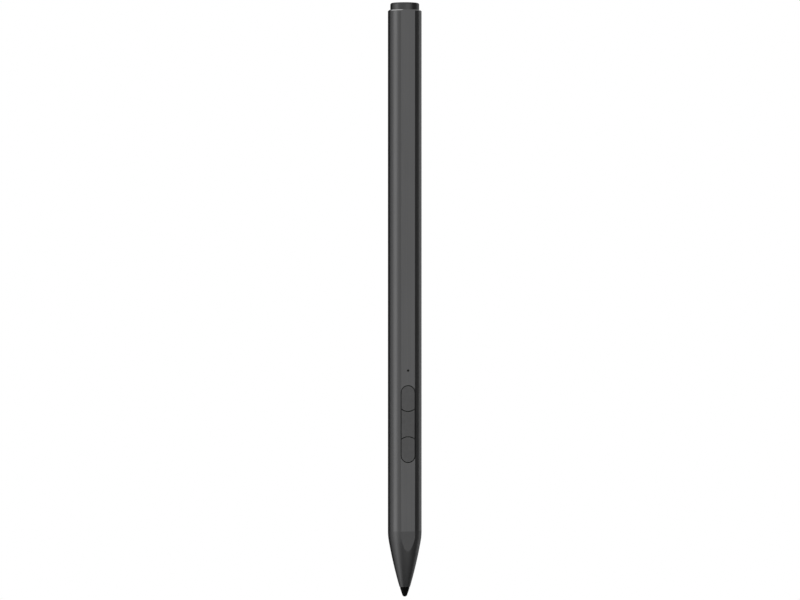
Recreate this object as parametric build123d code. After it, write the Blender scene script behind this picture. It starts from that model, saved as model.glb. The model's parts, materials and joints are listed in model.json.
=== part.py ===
from build123d import *
import math
import os

# Active stylus pen with two side keys, a tail button and a pressure-sensing nib, in millimetres.
# The pen's axis is Z, the point of its nib is at the origin, and the flat with the keys faces -Y.
# Heights are measured up the pen from the nib's point.

# Barrel: a drawn aluminium tube with one flat along its whole length
BARREL_DIAMETER = 9.0
BARREL_LENGTH = 138.95
BARREL_WALL = 0.6
FLAT_DEPTH = 0.39
RIM_CHAMFER = 0.25

# Nose cone: the tapered plastic front, plugged into the barrel by a spigot
NOSE_LENGTH = 14.96
NOSE_BAND = 0.1
SHOULDER_LENGTH = 2.7
SHOULDER_DROP = 0.24
MOUTH_LIP = 0.1
MOUTH_BORE_LENGTH = 3.86
GUIDE_BORE_LENGTH = 4.5
GUIDE_BORE_RADIUS = 1.9
NOSE_BORE_SHARE = 0.7
NOSE_FLAT_SLOPE_SHARE = 0.062

# Nib: a worn-in plastic point on a conductive core that pulls out for replacement
NIB_EXPOSED = 2.64
NIB_TIP_RADIUS = 0.7
NIB_RADIUS = 1.26
NIB_TAPER_LENGTH = 2.25
NIB_COLLAR_LENGTH = 3.75
NIB_CORE_RADIUS = 0.62
NIB_CORE_LENGTH = 13.0
NIB_CORE_CHAMFER = 0.2
NIB_SOCKET_DEPTH = 3.0

# Nib carrier: the plunger that holds the nib and passes its pressure to the sensor
CARRIER_RADIUS = 1.4
CARRIER_FLANGE_GAP = 0.4
CARRIER_FLANGE_THICKNESS = 0.8
CARRIER_NOSE_LENGTH = 2.0
CLIP_WALL = 0.3
CLIP_LENGTH = 2.0
CLIP_SPLIT = 0.5
GUIDE_LENGTH = 3.6
TILT_RING_HEIGHT = 2.3
TILT_RING_WALL = 0.5
NIB_SPRING_LENGTH = 5.1
NIB_SPRING_WIRE = 0.14
NIB_SPRING_TURNS = 5
PAD_RADIUS = 1.2
PAD_THICKNESS = 0.6
SENSOR_HEIGHT = 3.0
BOSS_LENGTH = 2.4

# Side keys and their switches, stacked inwards from the flat
SLOT_HEIGHT = 35.83
SLOT_WIDTH = 4.0
KEY_LENGTH = 6.67
KEY_GAP = 0.2
KEY_BULGE = 0.65
KEY_CORNER = 0.3
KEY_RECESS = 0.02
KEY_FLANGE_REACH = 0.25
KEY_FLANGE_THICKNESS = 0.33
KEY_NUB_RADIUS = 0.6
KEY_NUB_HEIGHT = 0.2
KEY_TRAVEL = 0.25
BRIDGE_LENGTH = 6.55
BRIDGE_GAP = 0.2
BRIDGE_POST_RADIUS = 0.9
SWITCH_WIDTH = 3.0
SWITCH_LENGTH = 3.6
SWITCH_HEIGHT = 0.75
STEM_RADIUS = 0.75
STEM_FLOOR = 0.15

# Status light above the keys
LED_SPACING = 3.9
LED_WIDTH = 0.8
LED_LENGTH = 1.6
LED_HEIGHT = 0.6
LIGHT_PIPE_RADIUS = 0.25
LIGHT_PIPE_FLANGE_RADIUS = 0.7
LIGHT_PIPE_FLANGE_THICKNESS = 0.3

# Main board, its components and its two screws
BOARD_THICKNESS = 0.8
BOARD_EDGE_GAP = 0.55
BOARD_FRONT_GAP = 1.8
BOARD_BEHIND_LED = 8.2
PROCESSOR_SIDE = 3.5
PROCESSOR_HEIGHT = 0.8
RADIO_SIDE = 2.5
RADIO_HEIGHT = 0.7
CRYSTAL_WIDTH = 1.2
CRYSTAL_LENGTH = 2.0
CRYSTAL_HEIGHT = 0.5
PASSIVE_WIDTH = 0.5
PASSIVE_LENGTH = 1.0
PASSIVE_HEIGHT = 0.3
PASSIVE_PITCH = 3.2
PASSIVE_EDGE = 0.35
SCREW_RADIUS = 0.5
SCREW_LENGTH = 2.2
SCREW_HEAD_RADIUS = 0.9
SCREW_HEAD_HEIGHT = 0.4
SCREW_SLOT_WIDTH = 0.2
SCREW_SLOT_DEPTH = 0.2
SCREW_INSET = 2.5
CONNECTOR_WIDTH = 4.0
CONNECTOR_LENGTH = 2.5
CONNECTOR_HEIGHT = 1.0

# Chassis: the plastic spine that carries the board, the battery and the charging port
CHASSIS_FIT = 0.1
CRADLE_WALL = 0.65
CAVITY_EDGE = 0.7
CAVITY_WALL = 0.6
BULKHEAD_LENGTH = 3.0
POST_LENGTH = 5.6

# Ribbon cable from the main board to the charge board
RIBBON_WIDTH = 3.0
RIBBON_THICKNESS = 0.12
RIBBON_LIFT = 0.68
RIBBON_END_LENGTH = 2.0
SENSOR_FLEX_WIDTH = 2.0

# Battery and the magnets that hold the pen to a tablet's edge
BATTERY_WRAP = 0.08
CELL_EDGE_RADIUS = 0.3
GUARD_BOARD_THICKNESS = 0.8
LEAD_RADIUS = 0.3
LEAD_SPREAD = 1.2
FOAM_THICKNESS = 1.0
END_WALL_LENGTH = 2.0
TRAY_WALL = 0.35
TRAY_FLOOR = 0.25
MAGNET_WIDTH = 2.6
MAGNET_LENGTH = 10.0
MAGNET_GAP = 1.5

# Charging port in the back of the barrel, with the standard sizes of a Type-C receptacle
USB_BELOW_RIM = 21.0
USB_MOUTH_WIDTH = 8.34
USB_MOUTH_HEIGHT = 2.56
USB_SHELL_WALL = 0.3
USB_BACK_ROOM = 1.33
USB_RECESS = 0.45
USB_TONGUE_WIDTH = 6.69
USB_TONGUE_THICKNESS = 0.7
USB_TONGUE_SETBACK = 0.45
USB_BASE_DEPTH = 1.0
CONTACT_PITCH = 0.5
CONTACT_WIDTH = 0.25
CONTACT_SETBACK = 1.05
CONTACT_THICKNESS = 0.05
CONTACTS_A_SIDE = 12
CHARGE_BOARD_THICKNESS = 0.6
CHARGE_CHIP_SIDE = 2.0
CHARGE_CHIP_HEIGHT = 0.5

# Tail: the round button in the end of the barrel, its guide plug, spring, switch and board
TAIL_WALL = 0.19
BUTTON_STAND = 1.95
BUTTON_SKIRT = 1.9
BUTTON_EDGE_RADIUS = 0.5
BUTTON_ROOF = 2.05
BUTTON_WALL = 0.9
BUTTON_TRAVEL = 0.5
BUTTON_STEM_RADIUS = 1.5
SNAP_HEAD_REACH = 0.45
SNAP_HEAD_HEIGHT = 0.8
PLUG_GUIDE_THICKNESS = 2.0
PLUG_SPRING_DEPTH = 3.5
PLUG_WALL = 0.4
TAIL_SPRING_WIRE = 0.15
TAIL_SPRING_TURNS = 5
TAIL_SWITCH_SIDE = 3.0
TAIL_SWITCH_HEIGHT = 1.0
TAIL_BOARD_THICKNESS = 0.8
ANTENNA_THICKNESS = 0.12
ANTENNA_HEIGHT = 2.6
ANTENNA_SPLIT = 0.8

# Clearances
RUNNING_CLEARANCE = 0.06
SLIDING_CLEARANCE = 0.03
FIXED_CLEARANCE = 0.05
SEAT_GAP = 0.05
STOP_GAP = 0.1
OVERRUN = 1.0

# Points measured on each turn of a spring
COIL_SAMPLES = 24

# Cross-section of the barrel: distances from the axis
BARREL_RADIUS = BARREL_DIAMETER / 2
FLAT_OFFSET = BARREL_RADIUS - FLAT_DEPTH
BORE_RADIUS = BARREL_RADIUS - BARREL_WALL
BORE_FLAT_OFFSET = FLAT_OFFSET - BARREL_WALL
CHASSIS_RADIUS = BORE_RADIUS - CHASSIS_FIT
CHASSIS_FLAT_OFFSET = BORE_FLAT_OFFSET - CHASSIS_FIT
TAIL_BORE_RADIUS = FLAT_OFFSET - TAIL_WALL
BUTTON_RADIUS = TAIL_BORE_RADIUS - RUNNING_CLEARANCE
SPIGOT_RADIUS = BORE_RADIUS - FIXED_CLEARANCE
SPIGOT_FLAT_OFFSET = BORE_FLAT_OFFSET - FIXED_CLEARANCE
NOSE_BORE_RADIUS = NOSE_BORE_SHARE * SPIGOT_RADIUS
CARRIER_FLANGE_RADIUS = NOSE_BORE_RADIUS - CARRIER_FLANGE_GAP
NIB_SPRING_RADIUS = (CARRIER_RADIUS + CARRIER_FLANGE_RADIUS) / 2
PLUG_RECESS_RADIUS = SPIGOT_FLAT_OFFSET - PLUG_WALL
TAIL_SPRING_RADIUS = (BUTTON_STEM_RADIUS + PLUG_RECESS_RADIUS) / 2
MOUTH_BORE_RADIUS = NIB_RADIUS + RUNNING_CLEARANCE
MOUTH_RADIUS = MOUTH_BORE_RADIUS + MOUTH_LIP

# Heights of the nose's inner stack, each piece standing on the one before
MOUTH_Z = NIB_EXPOSED
GUIDE_BORE_Z = MOUTH_Z + MOUTH_BORE_LENGTH
NOSE_BORE_Z = GUIDE_BORE_Z + GUIDE_BORE_LENGTH
TILT_RING_TOP_Z = NOSE_BORE_Z + TILT_RING_HEIGHT
CARRIER_FLANGE_Z = TILT_RING_TOP_Z + SEAT_GAP
NIB_SPRING_Z = CARRIER_FLANGE_Z + CARRIER_FLANGE_THICKNESS
SENSOR_Z = NIB_SPRING_Z + NIB_SPRING_LENGTH
PAD_Z = SENSOR_Z - PAD_THICKNESS
SENSOR_TOP_Z = SENSOR_Z + SENSOR_HEIGHT
CHASSIS_Z = SENSOR_TOP_Z + SEAT_GAP + BOSS_LENGTH
CARRIER_Z = NOSE_BORE_Z - CARRIER_NOSE_LENGTH
NIB_COLLAR_TOP_Z = NIB_TAPER_LENGTH + NIB_COLLAR_LENGTH
NIB_CORE_Z = NIB_COLLAR_TOP_Z - NIB_SOCKET_DEPTH
NIB_CORE_TOP_Z = NIB_CORE_Z + NIB_CORE_LENGTH

# Heights of the barrel and of what lines up with the keys
SEAM_Z = MOUTH_Z + NOSE_LENGTH
RIM_Z = SEAM_Z + BARREL_LENGTH
SLOT_LENGTH = 2 * (KEY_LENGTH + KEY_GAP) + BRIDGE_LENGTH + 2 * KEY_GAP
SLOT_TOP_Z = SLOT_HEIGHT + SLOT_LENGTH
SLOT_MIDDLE_Z = SLOT_HEIGHT + SLOT_LENGTH / 2
LOWER_KEY_Z = SLOT_HEIGHT + KEY_GAP + KEY_LENGTH / 2
UPPER_KEY_Z = SLOT_TOP_Z - KEY_GAP - KEY_LENGTH / 2
LED_Z = SLOT_TOP_Z + LED_SPACING
BOARD_Z = CHASSIS_Z + BOARD_FRONT_GAP
BOARD_TOP_Z = LED_Z + BOARD_BEHIND_LED

# Depths inwards from the flat: key, flange, nub, stem, switch, board
KEY_HALF_WIDTH = SLOT_WIDTH / 2 - KEY_GAP
FLANGE_HALF_WIDTH = SLOT_WIDTH / 2 + KEY_FLANGE_REACH
FLAT_Y = -FLAT_OFFSET
KEY_TOP_Y = FLAT_Y + KEY_RECESS
FLANGE_Y = RUNNING_CLEARANCE - math.sqrt(BORE_RADIUS**2 - FLANGE_HALF_WIDTH**2)
NUB_Y = FLANGE_Y + KEY_FLANGE_THICKNESS
STEM_Y = NUB_Y + KEY_NUB_HEIGHT
SWITCH_Y = STEM_Y + KEY_TRAVEL + STOP_GAP
BOARD_Y = SWITCH_Y + SWITCH_HEIGHT
STEM_BACK_Y = BOARD_Y - STEM_FLOOR - SEAT_GAP - KEY_TRAVEL
BOARD_BACK_Y = BOARD_Y + BOARD_THICKNESS
BOARD_HALF_WIDTH = math.sqrt(CHASSIS_RADIUS**2 - BOARD_Y**2) - BOARD_EDGE_GAP
RIBBON_BACK_Y = BOARD_Y - RIBBON_LIFT
RIBBON_Y = RIBBON_BACK_Y - RIBBON_THICKNESS

# Battery bay: the cell fills the room between the ribbon and the back of its cradle
CRADLE_BACK_Y = CHASSIS_RADIUS - CRADLE_WALL
CRADLE_RADIUS = (CRADLE_BACK_Y - RIBBON_BACK_Y - SEAT_GAP) / 2
CELL_Y = CRADLE_BACK_Y - CRADLE_RADIUS
WRAP_RADIUS = CRADLE_RADIUS - FIXED_CLEARANCE
CELL_RADIUS = WRAP_RADIUS - BATTERY_WRAP
TRAY_Y = -CHASSIS_FLAT_OFFSET
TRAY_BACK_Y = RIBBON_Y - SEAT_GAP
TRAY_FLOOR_Y = TRAY_BACK_Y - TRAY_FLOOR
TRAY_HALF_WIDTH = MAGNET_WIDTH / 2 + TRAY_WALL
CHASSIS_TOP_Y = TRAY_BACK_Y

# Heights of the tail, measured down from the barrel's rim
BUTTON_TOP_Z = RIM_Z + BUTTON_STAND
BUTTON_Z = RIM_Z - BUTTON_SKIRT
PLUG_TOP_Z = BUTTON_Z - BUTTON_TRAVEL - STOP_GAP
PLUG_GUIDE_TOP_Z = PLUG_TOP_Z - PLUG_SPRING_DEPTH
PLUG_GUIDE_Z = PLUG_GUIDE_TOP_Z - PLUG_GUIDE_THICKNESS
SNAP_HEAD_TOP_Z = PLUG_GUIDE_Z - STOP_GAP
TAIL_STEM_TOP_Z = SNAP_HEAD_TOP_Z - SNAP_HEAD_HEIGHT
TAIL_SWITCH_TOP_Z = TAIL_STEM_TOP_Z - BUTTON_TRAVEL - 2 * STOP_GAP
TAIL_SWITCH_Z = TAIL_SWITCH_TOP_Z - TAIL_SWITCH_HEIGHT
TAIL_STEM_Z = TAIL_SWITCH_Z + STEM_FLOOR + SEAT_GAP + BUTTON_TRAVEL
TAIL_BOARD_Z = TAIL_SWITCH_Z - TAIL_BOARD_THICKNESS
CHASSIS_TOP_Z = TAIL_BOARD_Z
BUTTON_ROOF_Z = BUTTON_TOP_Z - BUTTON_ROOF

# Charging bay and what is left of the length for the battery
USB_Z = RIM_Z - USB_BELOW_RIM
USB_SHELL_LENGTH = USB_MOUTH_WIDTH + 2 * USB_SHELL_WALL
USB_SHELL_HEIGHT = USB_MOUTH_HEIGHT + 2 * USB_SHELL_WALL
USB_MOUTH_Y = BARREL_RADIUS - USB_RECESS
USB_BACK_Y = USB_BACK_ROOM - BORE_FLAT_OFFSET
USB_BASE_Y = USB_BACK_Y + USB_SHELL_WALL
USB_TONGUE_Y = USB_BASE_Y + USB_BASE_DEPTH
USB_TONGUE_TIP_Y = USB_MOUTH_Y - USB_TONGUE_SETBACK
USB_BAY_Z = USB_Z - USB_SHELL_LENGTH / 2 - RIBBON_END_LENGTH - 2 * SEAT_GAP
CHARGE_BOARD_X = USB_SHELL_HEIGHT / 2 + FIXED_CLEARANCE
CHARGE_BOARD_FAR_X = CHARGE_BOARD_X + CHARGE_BOARD_THICKNESS
CHARGE_BOARD_BACK_Y = math.sqrt(CHASSIS_RADIUS**2 - CHARGE_BOARD_FAR_X**2) - BOARD_EDGE_GAP
GUARD_Z = BOARD_TOP_Z + SEAT_GAP + BULKHEAD_LENGTH
CELL_Z = GUARD_Z + GUARD_BOARD_THICKNESS
CELL_TOP_Z = USB_BAY_Z - END_WALL_LENGTH - FOAM_THICKNESS
FOAM_TOP_Z = CELL_TOP_Z + FOAM_THICKNESS
SCREW_Z = (BOARD_Z + SCREW_INSET, BOARD_TOP_Z - SCREW_INSET)


def block(low, high):
    """A box between two opposite corners."""
    size = [b - a for a, b in zip(low, high)]
    return Pos(*low) * Box(*size, align=(Align.MIN, Align.MIN, Align.MIN))


def rod(radius, low, high, x=0, y=0):
    """A cylinder along the pen, between two heights."""
    return Pos(x, y, low) * Cylinder(radius, high - low, align=(Align.CENTER, Align.CENTER, Align.MIN))


def peg(radius, outer, inner, height):
    """A cylinder across the pen, from one depth to a deeper one, at a height on the flat's middle line."""
    stem = Cylinder(radius, inner - outer, align=(Align.CENTER, Align.CENTER, Align.MIN))
    return Pos(0, outer, height) * Rot(-90, 0, 0) * stem


def plate(profile, outer, inner):
    """A profile drawn on X and Z, given thickness from one depth to a deeper one."""
    plane = Plane(origin=(0, inner, 0), x_dir=(1, 0, 0), z_dir=(0, -1, 0))
    return extrude(plane * profile, inner - outer)


def d_section(radius, flat):
    """A round cross-section with one flat facing -Y at that distance from the axis."""
    kept = Pos(0, (radius + OVERRUN - flat) / 2) * Rectangle(2 * radius + OVERRUN, radius + OVERRUN + flat)
    return Circle(radius) & kept


def d_bar(radius, flat, low, high):
    """A bar of that D-shaped cross-section, between two heights."""
    return extrude(Pos(0, 0, low) * d_section(radius, flat), high - low)


def turned(*edges):
    """A solid turned about the pen's axis from a closed outline of radius and height."""
    return revolve(Plane.XZ * make_face(Curve() + list(edges)), Axis.Z)


def pill(length, width, height):
    """A full-round slot outline on X and Z, long along the pen."""
    return Pos(0, height) * SlotOverall(length, width, rotation=90)


def coil(radius, wire, low, high, turns):
    """A helical wire spring that stands between two heights."""
    climb = high - low - 2 * wire
    path = Pos(0, 0, low + wire) * Helix(climb / turns, climb, radius)
    points = [path @ (step / turns / COIL_SAMPLES) for step in range(turns * COIL_SAMPLES + 1)]
    gaps = [
        (points[i] - points[j]).length
        for i in range(len(points))
        for j in range(i + COIL_SAMPLES // 2, len(points))
    ]
    print("least gap between a spring's turns", round(min(gaps) - 2 * wire, 2), "mm")
    return sweep(Plane(origin=path @ 0, z_dir=path % 0) * Circle(wire), path=path, is_frenet=True)


def key_outline(low, high, up):
    """A side key seen from the front: full round at its outer end, gently bulged at its inner end."""
    outer, inner, way = (high, low, -1) if up else (low, high, 1)
    side = KEY_HALF_WIDTH
    shoulder = outer + way * side
    corner = inner - way * KEY_BULGE
    edges = [
        ThreePointArc((-side, corner), (0, inner), (side, corner)),
        Line((side, corner), (side, shoulder)),
        ThreePointArc((side, shoulder), (0, outer), (-side, shoulder)),
        Line((-side, shoulder), (-side, corner)),
    ]
    face = make_face(Curve() + edges)
    corners = [v for v in face.vertices() if abs(v.Y - corner) < KEY_CORNER / 2]
    return fillet(corners, KEY_CORNER)


LOWER_KEY_ENDS = (SLOT_HEIGHT + KEY_GAP, SLOT_HEIGHT + KEY_GAP + KEY_LENGTH)
UPPER_KEY_ENDS = (SLOT_TOP_Z - KEY_GAP - KEY_LENGTH, SLOT_TOP_Z - KEY_GAP)


def barrel():
    tube = d_bar(BARREL_RADIUS, FLAT_OFFSET, SEAM_Z, RIM_Z)
    tube -= d_bar(BORE_RADIUS, BORE_FLAT_OFFSET, SEAM_Z - OVERRUN, PLUG_TOP_Z)
    tube -= rod(TAIL_BORE_RADIUS, PLUG_TOP_Z, RIM_Z + OVERRUN)
    rim = rod(BARREL_RADIUS + OVERRUN, RIM_Z - RIM_CHAMFER, RIM_Z)
    rim -= Pos(0, 0, RIM_Z - RIM_CHAMFER) * Cone(
        BARREL_RADIUS,
        BARREL_RADIUS - RIM_CHAMFER,
        RIM_CHAMFER,
        align=(Align.CENTER, Align.CENTER, Align.MIN),
    )
    tube -= rim
    tube -= plate(pill(SLOT_LENGTH, SLOT_WIDTH, SLOT_MIDDLE_Z), -BARREL_RADIUS, FLANGE_Y)
    tube -= peg(LIGHT_PIPE_RADIUS + FIXED_CLEARANCE, -BARREL_RADIUS, FLANGE_Y, LED_Z)
    port = pill(
        USB_SHELL_LENGTH + 2 * FIXED_CLEARANCE, USB_SHELL_HEIGHT + 2 * FIXED_CLEARANCE, USB_Z
    )
    tube -= plate(port, 0, BARREL_RADIUS + OVERRUN)
    return tube


def nose_cone():
    shoulder_start = SEAM_Z - NOSE_BAND
    shoulder_end = (BARREL_RADIUS - SHOULDER_DROP, shoulder_start - SHOULDER_LENGTH)
    shoulder = TangentArc((BARREL_RADIUS, shoulder_start), shoulder_end, tangent=(0, -1))
    taper = TangentArc(shoulder_end, (MOUTH_RADIUS, MOUTH_Z), tangent=shoulder % 1)
    inside = Polyline(
        (MOUTH_RADIUS, MOUTH_Z),
        (MOUTH_BORE_RADIUS, MOUTH_Z),
        (MOUTH_BORE_RADIUS, GUIDE_BORE_Z),
        (GUIDE_BORE_RADIUS, GUIDE_BORE_Z),
        (GUIDE_BORE_RADIUS, NOSE_BORE_Z),
        (NOSE_BORE_RADIUS, NOSE_BORE_Z),
        (NOSE_BORE_RADIUS, SEAM_Z),
        (BARREL_RADIUS, SEAM_Z),
        (BARREL_RADIUS, shoulder_start),
    )
    cone = turned(shoulder, taper, inside)
    drop = (SEAM_Z - MOUTH_Z) * NOSE_FLAT_SLOPE_SHARE
    beyond = -BARREL_RADIUS - OVERRUN
    wedge = Polyline(
        (FLAT_Y, SEAM_Z), (FLAT_Y + drop, MOUTH_Z), (beyond, MOUTH_Z), (beyond, SEAM_Z), close=True
    )
    cone -= extrude(Plane.YZ * make_face(wedge), BARREL_RADIUS + OVERRUN, both=True)
    spigot = d_bar(SPIGOT_RADIUS, SPIGOT_FLAT_OFFSET, SEAM_Z, CHASSIS_Z - SEAT_GAP)
    return cone + (spigot - rod(NOSE_BORE_RADIUS, SEAM_Z, CHASSIS_Z))


def nib_tip():
    rise = (NIB_RADIUS - NIB_TIP_RADIUS) / (NIB_TAPER_LENGTH - NIB_TIP_RADIUS)
    slope = math.atan(rise)
    touch = (NIB_TIP_RADIUS * math.cos(slope), NIB_TIP_RADIUS * (1 - math.sin(slope)))
    point = TangentArc((0, 0), touch, tangent=(1, 0))
    side = Polyline(
        touch,
        (NIB_RADIUS, NIB_TAPER_LENGTH),
        (NIB_RADIUS, NIB_COLLAR_TOP_Z),
        (NIB_CORE_RADIUS + SLIDING_CLEARANCE, NIB_COLLAR_TOP_Z),
        (NIB_CORE_RADIUS + SLIDING_CLEARANCE, NIB_CORE_Z),
        (0, NIB_CORE_Z),
        (0, 0),
    )
    return turned(point, side)


def nib_core():
    core = rod(NIB_CORE_RADIUS, NIB_CORE_Z, NIB_CORE_TOP_Z)
    return chamfer(core.edges().sort_by(Axis.Z)[-1:], NIB_CORE_CHAMFER)


def nib_guide():
    inner = CARRIER_RADIUS + RUNNING_CLEARANCE
    top = NOSE_BORE_Z - SEAT_GAP
    bush = rod(GUIDE_BORE_RADIUS - FIXED_CLEARANCE, top - GUIDE_LENGTH, top)
    return bush - rod(inner, top - GUIDE_LENGTH - OVERRUN, top + OVERRUN)


def tilt_ring():
    outer = NOSE_BORE_RADIUS - FIXED_CLEARANCE
    ring = rod(outer, NOSE_BORE_Z, TILT_RING_TOP_Z)
    return ring - rod(outer - TILT_RING_WALL, NOSE_BORE_Z - OVERRUN, TILT_RING_TOP_Z + OVERRUN)


def nib_carrier():
    body = rod(CARRIER_RADIUS, CARRIER_Z, PAD_Z)
    body += rod(CARRIER_FLANGE_RADIUS, CARRIER_FLANGE_Z, NIB_SPRING_Z)
    body -= rod(NIB_CORE_RADIUS + SLIDING_CLEARANCE, CARRIER_Z, NIB_CORE_TOP_Z + STOP_GAP)
    clip_outer = NIB_CORE_RADIUS + SLIDING_CLEARANCE + CLIP_WALL
    return body - rod(clip_outer + FIXED_CLEARANCE, CARRIER_Z - OVERRUN, CARRIER_Z + CLIP_LENGTH)


def nib_clip():
    inner = NIB_CORE_RADIUS + SLIDING_CLEARANCE
    top = CARRIER_Z + CLIP_LENGTH - FIXED_CLEARANCE
    ring = rod(inner + CLIP_WALL, CARRIER_Z, top) - rod(inner, CARRIER_Z - OVERRUN, top + OVERRUN)
    split = CLIP_SPLIT / 2
    outside = inner + CLIP_WALL + OVERRUN
    return ring - block((-split, 0, CARRIER_Z - OVERRUN), (split, outside, top + OVERRUN))


def force_sensor():
    can = rod(NOSE_BORE_RADIUS - FIXED_CLEARANCE, SENSOR_Z, SENSOR_TOP_Z)
    return chamfer(can.edges().filter_by(GeomType.CIRCLE), FIXED_CLEARANCE)


def sensor_flex():
    half = SENSOR_FLEX_WIDTH / 2
    end = SCREW_Z[0] - SCREW_HEAD_RADIUS - SEAT_GAP
    return block((-half, BOARD_Y - RIBBON_THICKNESS, SENSOR_TOP_Z), (half, BOARD_Y, end))


def key(ends, up):
    low, high = ends
    middle = (low + high) / 2
    body = plate(key_outline(low, high, up), KEY_TOP_Y, FLANGE_Y)
    flange_half = FLANGE_HALF_WIDTH
    body += block((-flange_half, FLANGE_Y, low + KEY_CORNER), (flange_half, NUB_Y, high - KEY_CORNER))
    return body + peg(KEY_NUB_RADIUS, NUB_Y, STEM_Y, middle)


def key_bridge():
    low = LOWER_KEY_ENDS[1] - KEY_BULGE + KEY_CORNER
    high = UPPER_KEY_ENDS[0] + KEY_BULGE - KEY_CORNER
    face = Pos(0, SLOT_MIDDLE_Z) * Rectangle(SLOT_WIDTH - 2 * BRIDGE_GAP, high - low)
    face -= offset(key_outline(*LOWER_KEY_ENDS, False), KEY_GAP)
    face -= offset(key_outline(*UPPER_KEY_ENDS, True), KEY_GAP)
    body = plate(face, KEY_TOP_Y, FLANGE_Y)
    foot = BRIDGE_LENGTH / 2 - KEY_GAP
    body += block(
        (-FLANGE_HALF_WIDTH, FLANGE_Y, SLOT_MIDDLE_Z - foot),
        (FLANGE_HALF_WIDTH, NUB_Y, SLOT_MIDDLE_Z + foot),
    )
    return body + peg(BRIDGE_POST_RADIUS, NUB_Y, BOARD_Y, SLOT_MIDDLE_Z)


def switch_case(height):
    half, side = SWITCH_LENGTH / 2, SWITCH_WIDTH / 2
    case = block((-side, SWITCH_Y, height - half), (side, BOARD_Y, height + half))
    return case - peg(STEM_RADIUS + RUNNING_CLEARANCE, SWITCH_Y - OVERRUN, BOARD_Y - STEM_FLOOR, height)


def switch_stem(height):
    return peg(STEM_RADIUS, STEM_Y, STEM_BACK_Y, height)


def status_led():
    half, side = LED_LENGTH / 2, LED_WIDTH / 2
    return block((-side, BOARD_Y - LED_HEIGHT, LED_Z - half), (side, BOARD_Y, LED_Z + half))


def light_pipe():
    led_face = BOARD_Y - LED_HEIGHT - SEAT_GAP
    pipe = peg(LIGHT_PIPE_RADIUS, FLAT_Y + KEY_RECESS, led_face, LED_Z)
    return pipe + peg(LIGHT_PIPE_FLANGE_RADIUS, FLANGE_Y, FLANGE_Y + LIGHT_PIPE_FLANGE_THICKNESS, LED_Z)


def main_board():
    side = BOARD_HALF_WIDTH
    board = block((-side, BOARD_Y, BOARD_Z), (side, BOARD_BACK_Y, BOARD_TOP_Z))
    for height in SCREW_Z:
        board -= peg(SCREW_RADIUS + FIXED_CLEARANCE, BOARD_Y - OVERRUN, BOARD_BACK_Y + OVERRUN, height)
    return board


def chip_under_board(side_x, side_z, thickness, height):
    """A component on the back of the main board, at a height on its middle line."""
    x, z = side_x / 2, side_z / 2
    return block((-x, BOARD_BACK_Y, height - z), (x, BOARD_BACK_Y + thickness, height + z))


def processor_chip():
    return chip_under_board(PROCESSOR_SIDE, PROCESSOR_SIDE, PROCESSOR_HEIGHT, SLOT_MIDDLE_Z)


def radio_chip():
    return chip_under_board(RADIO_SIDE, RADIO_SIDE, RADIO_HEIGHT, UPPER_KEY_Z)


def clock_crystal():
    return chip_under_board(CRYSTAL_WIDTH, CRYSTAL_LENGTH, CRYSTAL_HEIGHT, LOWER_KEY_Z)


def board_passives():
    """Rows of small capacitors and resistors along both edges of the board."""
    outer = BOARD_HALF_WIDTH - PASSIVE_EDGE
    inner = outer - PASSIVE_WIDTH
    top = BOARD_Y - PASSIVE_HEIGHT
    count = int((SLOT_LENGTH - PASSIVE_LENGTH) // PASSIVE_PITCH) + 1
    solids = []
    for row in range(count):
        low = SLOT_HEIGHT + row * PASSIVE_PITCH
        for near, far in ((-outer, -inner), (inner, outer)):
            solids.append(block((near, top, low), (far, BOARD_Y, low + PASSIVE_LENGTH)))
    return Compound(children=solids)


def board_screws():
    solids = []
    for height in SCREW_Z:
        screw = peg(SCREW_RADIUS, BOARD_Y, BOARD_Y + SCREW_LENGTH, height)
        screw += peg(SCREW_HEAD_RADIUS, BOARD_Y - SCREW_HEAD_HEIGHT, BOARD_Y, height)
        half = SCREW_SLOT_WIDTH / 2
        head_top = BOARD_Y - SCREW_HEAD_HEIGHT
        reach = SCREW_HEAD_RADIUS + OVERRUN
        for across, along in ((reach, half), (half, reach)):
            screw -= block(
                (-across, head_top - OVERRUN, height - along),
                (across, head_top + SCREW_SLOT_DEPTH, height + along),
            )
        solids.append(screw)
    return Compound(children=solids)


def connector_top():
    """Height where the ribbon leaves its connector on the main board."""
    return BOARD_TOP_Z - SCREW_INSET - SCREW_HEAD_RADIUS - SEAT_GAP


def ribbon_connector():
    top = connector_top()
    half = CONNECTOR_WIDTH / 2
    return block((-half, BOARD_Y - CONNECTOR_HEIGHT, top - CONNECTOR_LENGTH), (half, BOARD_Y, top))


def ribbon_cable():
    half = RIBBON_WIDTH / 2
    end = USB_BAY_Z + RIBBON_END_LENGTH
    strip = block((-half, RIBBON_Y, connector_top()), (half, RIBBON_BACK_Y, end))
    return strip + block((0, RIBBON_Y, USB_BAY_Z + SEAT_GAP), (CHARGE_BOARD_FAR_X, RIBBON_BACK_Y, end))


def battery_cell():
    cell = rod(CELL_RADIUS, CELL_Z, CELL_TOP_Z, y=CELL_Y)
    return fillet(cell.edges().filter_by(GeomType.CIRCLE), CELL_EDGE_RADIUS)


def battery_wrap():
    sleeve = rod(WRAP_RADIUS, CELL_Z, CELL_TOP_Z, y=CELL_Y)
    return sleeve - rod(CELL_RADIUS, CELL_Z - OVERRUN, CELL_TOP_Z + OVERRUN, y=CELL_Y)


def battery_guard_board():
    return rod(CELL_RADIUS, GUARD_Z, CELL_Z, y=CELL_Y)


def battery_leads():
    middle = (BOARD_Y + BOARD_BACK_Y) / 2
    leads = [rod(LEAD_RADIUS, BOARD_TOP_Z, GUARD_Z, x=side * LEAD_SPREAD, y=middle) for side in (-1, 1)]
    return Compound(children=leads)


def battery_foam():
    return rod(CELL_RADIUS, CELL_TOP_Z, FOAM_TOP_Z, y=CELL_Y)


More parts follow.
